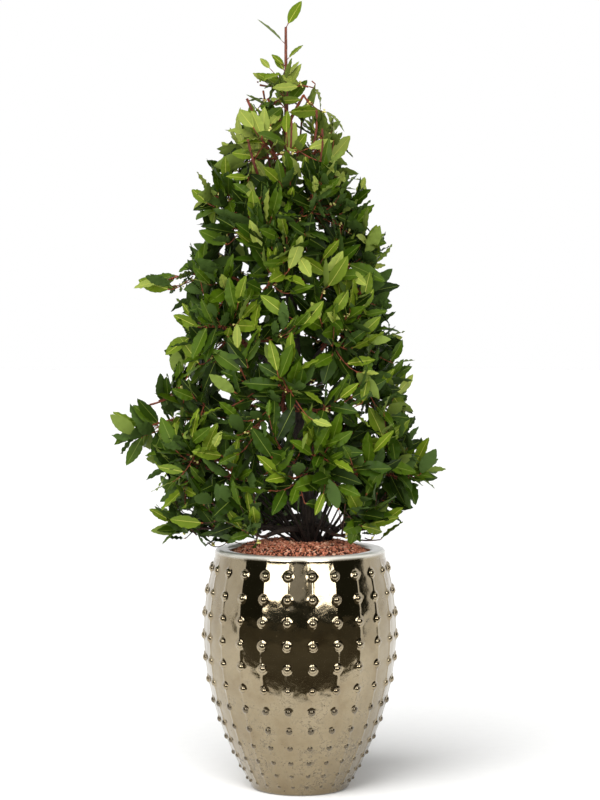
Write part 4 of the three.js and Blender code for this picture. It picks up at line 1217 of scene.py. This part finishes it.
class BAY_OT_twigs(bpy.types.Operator):
    """Makes the crown's stems, twigs and shoots, a piece for each tier"""

    bl_idname = "bay.twigs"
    bl_label = "Twigs"

    def execute(self, context):
        vertices, polygons = basal_stems()
        # The basal stems' bark is old bark darkened to near black, partly painted shade from the crown
        # over them.
        piece = put_mesh("basal_stems", vertices, polygons, [bark("bay_old_stem_painted_shade", "2e231b", "140f0c")])
        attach(piece, "root")
        settings = context.scene.bay_tree
        curves, roots, tips, _, _, tiers, _ = grow_crown(settings.shoots_per_twig)
        *_, ends = crown_of(settings)
        red_skin = bark("bay_red_twig", "8a4427", "4a2415")
        dark_skin = bark("bay_dark_twig", "4a2d20", "241611")
        for tier in range(len(TIERS)):
            mine = tiers == tier
            thick = mine & (roots > THICK)
            thin = mine & (roots <= THICK) & (ends > 0)
            vertices, polygons = stack([
                tubes(curves[thick], roots[thick], tips[thick], 7, 8,
                      np.maximum(ends[thick], KEPT if tier else KEPT_LOWEST)),
                tubes(curves[thin], roots[thin], tips[thin], 5, 5, ends[thin])])
            skin = red_skin if tier else dark_skin
            piece = put_mesh(f"twigs_{tier + 1}", vertices, polygons, [skin])
            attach(piece, "root")
        return {"FINISHED"}


class BAY_OT_leaves(bpy.types.Operator):
    """Makes the crown's leaves, a piece for each tier"""

    bl_idname = "bay.leaves"
    bl_label = "Leaves"

    def execute(self, context):
        corners, tiers, tints, _ = crown_of(context.scene.bay_tree)
        materials = leaf_materials()
        for tier, (_, count, *_) in enumerate(TIERS):
            mine = tiers == tier
            piece = leaf_piece(f"leaves_{tier + 1}", corners[mine], tints[mine], materials)
            masses = [f"foliage_{tier + 1}_{i + 1}" for i in range(count)]
            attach(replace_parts(piece, *masses), "root")
        print(len(corners), "leaves")
        return {"FINISHED"}


class BAY_OT_buds(bpy.types.Operator):
    """Dots clusters of small flower buds along the upper shoots"""

    bl_idname = "bay.buds"
    bl_label = "Flower buds"

    def execute(self, context):
        settings = context.scene.bay_tree
        curves, _, _, _, _, tiers, _ = grow_crown(settings.shoots_per_twig)
        *_, ends = crown_of(settings)
        curves, tiers = curves[ends > 0.7], tiers[ends > 0.7]
        rng = np.random.default_rng(SEED + 5)
        chosen = curves[rng.uniform(0, 1, len(curves)) < BUD_CHANCES[tiers]]
        centres = bezier(chosen, rng.uniform(0.2, 0.75, len(chosen)))
        centres = np.repeat(centres, BUDS_IN_CLUSTER, axis=0)
        centres += rng.normal(0, CLUSTER_SPREAD, centres.shape)
        ball = np.array([(r * math.cos(t), r * math.sin(t), z) for r, z in BUD_RINGS
                         for t in turns(BUD_SIDES)])
        radius = rng.uniform(*BUD_RADII, (len(centres), 1, 1))
        vertices = (ball[None] * radius + centres[:, None]).reshape(-1, 3)
        size = (len(BUD_RINGS), BUD_SIDES)
        polygons = [copies(faces, len(centres), len(ball))
                    for faces in (grid_faces(*size, closed=True), end_caps(*size))]
        piece = put_mesh("flower_buds", vertices, polygons, [leaf_skin("bay_flower_bud", BUD_TINT, 0.6)])
        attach(piece, "root")
        return {"FINISHED"}


# ---------------------------------------------------------------- leader

# The leader's leaves: height on the leader, azimuth and climb in degrees, length, how the face is
# turned about the leaf in degrees from facing up, and the length of its stalk.
LEADER_LEAVES = (
    (1671, -8, 60, 66, 75, 9),
    (1635, 176, 44, 82, 8, 9),
    (1600, 4, 44, 50, 30, 9),
    (1586, 178, 42, 40, 60, 9),
    (1560, -8, 54, 46, 40, 9),
    (1572, 172, 58, 46, 80, 9),
    (1550, -70, 60, 60, 40, 9),
    (1545, 80, 48, 58, 15, 9),
    (1536, 190, 30, 74, 50, 9),
    (1530, -20, 62, 70, 60, 9),
    (1522, 150, 48, 72, 60, 9),
    (1512, -120, 66, 66, 30, 9),
    (1500, 20, 52, 76, 45, 9),
    (1492, 240, 44, 78, 40, 9),
    (1545, 180, 47, 38, 70, 52),
    (1519, 182, 37, 40, 55, 58),
)

LEADER_TINTS = np.array([3, 3, 3, 3, 4, 3, 3, 2, 3, 4, 3, 3, 2, 3, 4, 4])
LEADER_WIDTH, LEADER_FOLD, LEADER_DROOP, LEADER_WAVE = 0.38, 0.2, 0.05, 0.6
STALK_BEND, STALK_RADII = 0.44, (1.3, 0.8)
STALK_IN_LENGTH = 6  # a leader leaf's length in the table takes in this much of its stalk

# Cut shoots that stand up among the top leaves: azimuth in degrees, distance from the trunk where
# the shoot starts and where it ends, start and end heights, and radius.
CUT_SHOOTS = (
    (215.5, 31, 103, 1410, 1512, 3.4),
    (234.8, 83, 140, 1317, 1420, 3.3),
    (-48.2, 88, 100, 1400, 1487, 2.8),
    (-51.7, 118, 127, 1360, 1444, 2.6),
    (-82.9, 88, 106, 1400, 1471, 2.3),
    (60, 40, 70, 1370, 1480, 2.4),
    (125, 46, 80, 1330, 1452, 2.5),
)
CUT_BOW, CUT_TAPER = 10, 0.85


def cut_shoots():
    """The curves and radii of the cut shoots, each bowed a little."""
    azimuth, near, far, low, high, radius = np.array(CUT_SHOOTS, dtype=float).T
    level = level_at(np.radians(azimuth))
    axis = np.array([AXIS_X, 0, 0])
    root = axis + level * near[:, None] + UP * low[:, None]
    end = axis + level * far[:, None] + UP * high[:, None]
    return np.stack([root, blend(root, end, 0.5) + level * CUT_BOW, end], axis=1), radius


class BAY_OT_leader(bpy.types.Operator):
    """Makes the bare leader's few leaves, their stalks and the cut shoots"""

    bl_idname = "bay.leader"
    bl_label = "Leader"

    def execute(self, context):
        table = np.radians(np.array(LEADER_LEAVES) * [0, 1, 1, 0, 1, 0])
        heights, lengths, stalk = np.array(LEADER_LEAVES, dtype=float)[:, [0, 3, 5]].T
        azimuth, climb, roll = table[:, 1], table[:, 2], table[:, 4]
        level = level_at(azimuth)
        heading = unit(level * np.cos(climb)[:, None] + UP * np.sin(climb)[:, None])
        up_face = unit(UP - heading * heading[:, 2:])
        side = np.cross(up_face, heading)
        toward = np.where(side[:, 1:2] < 0, 1, -1)
        face = unit(up_face * np.cos(roll)[:, None] + toward * side * np.sin(roll)[:, None])
        count = len(heights)
        rng = np.random.default_rng(SEED + 9)
        stalks = quadratic(*[trunk_centre(heights)] * 3).transpose(1, 0, 2).copy()
        stalks[:, 1] += heading * (STALK_BEND * stalk)[:, None]
        stalks[:, 2] += heading * stalk[:, None]
        shape = (np.full(count, value) for value in (LEADER_FOLD, LEADER_DROOP, LEADER_WAVE))
        corners = leaf_blades(stalks[:, 2] - heading, heading, face, lengths - STALK_IN_LENGTH,
                              LEADER_WIDTH * lengths, *shape, rng.uniform(0, 6, count),
                              0.5 * saw(rng, count))
        leaves = leaf_piece("leader_leaves", corners, LEADER_TINTS, leaf_materials())
        nodes = ["leader_spray_1", "leader_spray_2", "leader_spray_3", "leader_tip_leaf"]
        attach(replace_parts(leaves, *nodes), "root")
        shoots, radii = cut_shoots()
        vertices, polygons = stack([
            tubes(stalks, *(np.full(count, radius) for radius in STALK_RADII), 6, 3),
            tubes(shoots, radii, CUT_TAPER * radii, 8, 6)])
        skin = bark("bay_leader_stalk", "7c3e2b", "451f16")
        twigs = put_mesh("leader_stalks", vertices, polygons, [skin])
        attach(twigs, "root")
        return {"FINISHED"}


# ---------------------------------------------------------------- studio

CAMERA_PLACE = (0.0, -5.0, 1.079)
CAMERA_AIM = (0.0, 0.0, 0.857)
LENS = 102.3  # on a 36 mm sensor along the render's long side
FLOOR_RADIUS, FLOOR_SIDES = 30000, 64
CLOTH_REACH, CLOTH_EDGE, CLOTH_HEIGHT = 29000, -560, 1
# Soft windows in front of the pot: azimuth in degrees from the camera's, width in metres, brightness.
WINDOWS = (("left_window", -26, 1.35, 6.5), ("doorway", -2, 0.5, 0.5), ("right_window", 23, 1.35, 6.5))
WINDOW_CLIMB, WINDOW_FAR, WINDOW_HIGH = math.radians(17), 2.6, 1.0
POT_MIDDLE = (0, 0, 0.5)  # the windows face it
# Soft lights: strength, and the place in metres that each shines from.
SOFT_LIGHTS = (("ceiling", 3.5, (-1.0, -1.6, 2.9)), ("fill", 0.8, (0.8, -2.6, 1.0)))
SOFTNESS = math.radians(55)


class BAY_OT_stage(bpy.types.Operator):
    """Sets up the pale floor, the soft studio light and the camera"""

    bl_idname = "bay.stage"
    bl_label = "Studio"

    def execute(self, context):
        scene = context.scene
        material, tree, shader, place = new_material("pale_studio_floor")
        grain = node(tree, "TexNoise", {"Vector": place, "Scale": 1 / (30 * MM)})
        feed(shader, {"Base Color": ramp(tree, grain, (0.3, "f8f8f7"), (0.7, "fafaf9")),
                      "Roughness": 0.8})
        disc = level_at(turns(FLOOR_SIDES)) * FLOOR_RADIUS
        floor = put_mesh("studio_floor", disc, [np.arange(FLOOR_SIDES)[None]], [material], smooth=False)
        floor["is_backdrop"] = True

        # A dark cloth covers the floor in front, where the camera doesn't see it: the glaze mirrors it.
        dark, _, cloth_shader, _ = new_material("dark_studio_cloth")
        feed(cloth_shader, {"Base Color": linear("3a3526"), "Roughness": 1.0})
        corners = np.array([(x, y, CLOTH_HEIGHT) for x, y in (
            (-CLOTH_REACH, -CLOTH_REACH), (CLOTH_REACH, -CLOTH_REACH), (CLOTH_REACH, CLOTH_EDGE),
            (-CLOTH_REACH, CLOTH_EDGE))], dtype=float)
        cloth = put_mesh("dark_cloth", corners, [np.arange(4)[None]], [dark], smooth=False)
        cloth.visible_camera = cloth.visible_diffuse = cloth.visible_shadow = False
        cloth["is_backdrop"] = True

        self.light_world(scene)
        for name, azimuth, width, glow in WINDOWS:
            turn, far = math.radians(azimuth), WINDOW_FAR
            place = (far * math.sin(turn), -far * math.cos(turn),
                     POT_MIDDLE[2] + far * math.tan(WINDOW_CLIMB))
            lamp = bpy.data.lights.new(name, "AREA")
            lamp.shape, lamp.size, lamp.size_y = "RECTANGLE", width, WINDOW_HIGH
            lamp.energy = glow * math.pi * width
            self.aim_from(scene, name, lamp, place, POT_MIDDLE)
        for name, glow, place in SOFT_LIGHTS:
            soft = bpy.data.lights.new(name, "SUN")
            soft.energy, soft.angle = glow, SOFTNESS
            holder = self.aim_from(scene, name, soft, place, (0, 0, 0))
            holder.visible_glossy = False

        lens = bpy.data.cameras.new("camera")
        lens.lens = LENS
        scene.camera = self.aim_from(scene, "camera", lens, CAMERA_PLACE, CAMERA_AIM)
        scene.view_settings.view_transform = "Standard"
        return {"FINISHED"}

    def aim_from(self, scene, name, data, place, target):
        """Puts a lamp or a camera at a place, turned to a target, both in metres."""
        holder = bpy.data.objects.new(name, data)
        holder.location = place
        aim = Vector(target) - Vector(place)
        holder.rotation_euler = aim.to_track_quat("-Z", "Y").to_euler()
        scene.collection.objects.link(holder)
        return holder

    def light_world(self, scene):
        """A white studio, with a dark patch in front above the horizon that the glaze mirrors. The
        camera sees plain white, and matt surfaces get a softer light."""
        world = bpy.data.worlds.new("studio")
        world.use_nodes = True
        tree = world.node_tree
        tree.nodes.clear()
        direction = node(tree, "TexCoord").outputs["Generated"]
        climb = node(tree, "SeparateXYZ", {"Vector": direction}).outputs["Z"]
        toward = node(tree, "VectorMath", {0: direction, 1: (0.12, -1.0, 0.0)},
                      operation="DOT_PRODUCT")
        front, below = (
            node(tree, "MapRange", {"Value": value, "From Min": start, "From Max": end},
                 interpolation_type="SMOOTHSTEP")
            for value, start, end in ((toward, 0.03, 0.1), (climb, 0.8, 0.6)))
        patch = node(tree, "Math", {0: front, 1: below}, operation="MULTIPLY")
        ray = node(tree, "LightPath")
        unseen = node(tree, "Math", {0: 1.0, 1: ray.outputs["Is Camera Ray"]}, operation="SUBTRACT")
        share = node(tree, "Math", {0: patch, 1: unseen}, operation="MULTIPLY")
        colour = node(tree, "Mix", {"Factor": share, "A": linear("ffffff"), "B": linear("2a2b22")},
                      data_type="RGBA")
        soft = node(tree, "Math", {0: ray.outputs["Is Diffuse Ray"], 1: -0.83, 2: 1.0},
                    operation="MULTIPLY_ADD")
        light = node(tree, "Background", {"Color": colour, "Strength": soft})
        node(tree, "OutputWorld", {"Surface": light})
        scene.world = world


# ---------------------------------------------------------------- add-on

OPERATORS = (BAY_OT_stage, BAY_OT_pot, BAY_OT_grit, BAY_OT_limbs, BAY_OT_twigs, BAY_OT_leaves,
             BAY_OT_buds, BAY_OT_leader)


class BAY_PT_panel(bpy.types.Panel):
    """Lists the steps that build the topiary and their sizes"""

    bl_idname = "BAY_PT_panel"
    bl_label = "Bay topiary"
    bl_space_type = "VIEW_3D"
    bl_region_type = "UI"
    bl_category = "Bay topiary"

    def draw(self, context):
        for settings in (context.scene.bay_pot, context.scene.bay_tree):
            column = self.layout.column()
            for name in settings.__annotations__:
                column.prop(settings, name)
        for operator in OPERATORS:
            self.layout.operator(operator.bl_idname)


CLASSES = (PotSettings, TreeSettings, *OPERATORS, BAY_PT_panel)


def register():
    for cls in CLASSES:
        bpy.utils.register_class(cls)
    bpy.types.Scene.bay_pot = PointerProperty(type=PotSettings)
    bpy.types.Scene.bay_tree = PointerProperty(type=TreeSettings)


def unregister():
    del bpy.types.Scene.bay_tree
    del bpy.types.Scene.bay_pot
    for cls in reversed(CLASSES):
        bpy.utils.unregister_class(cls)


def main():
    register()
    for operator in OPERATORS:
        group, name = operator.bl_idname.split(".")
        getattr(getattr(bpy.ops, group), name)()


if __name__ == "__main__":
    main()
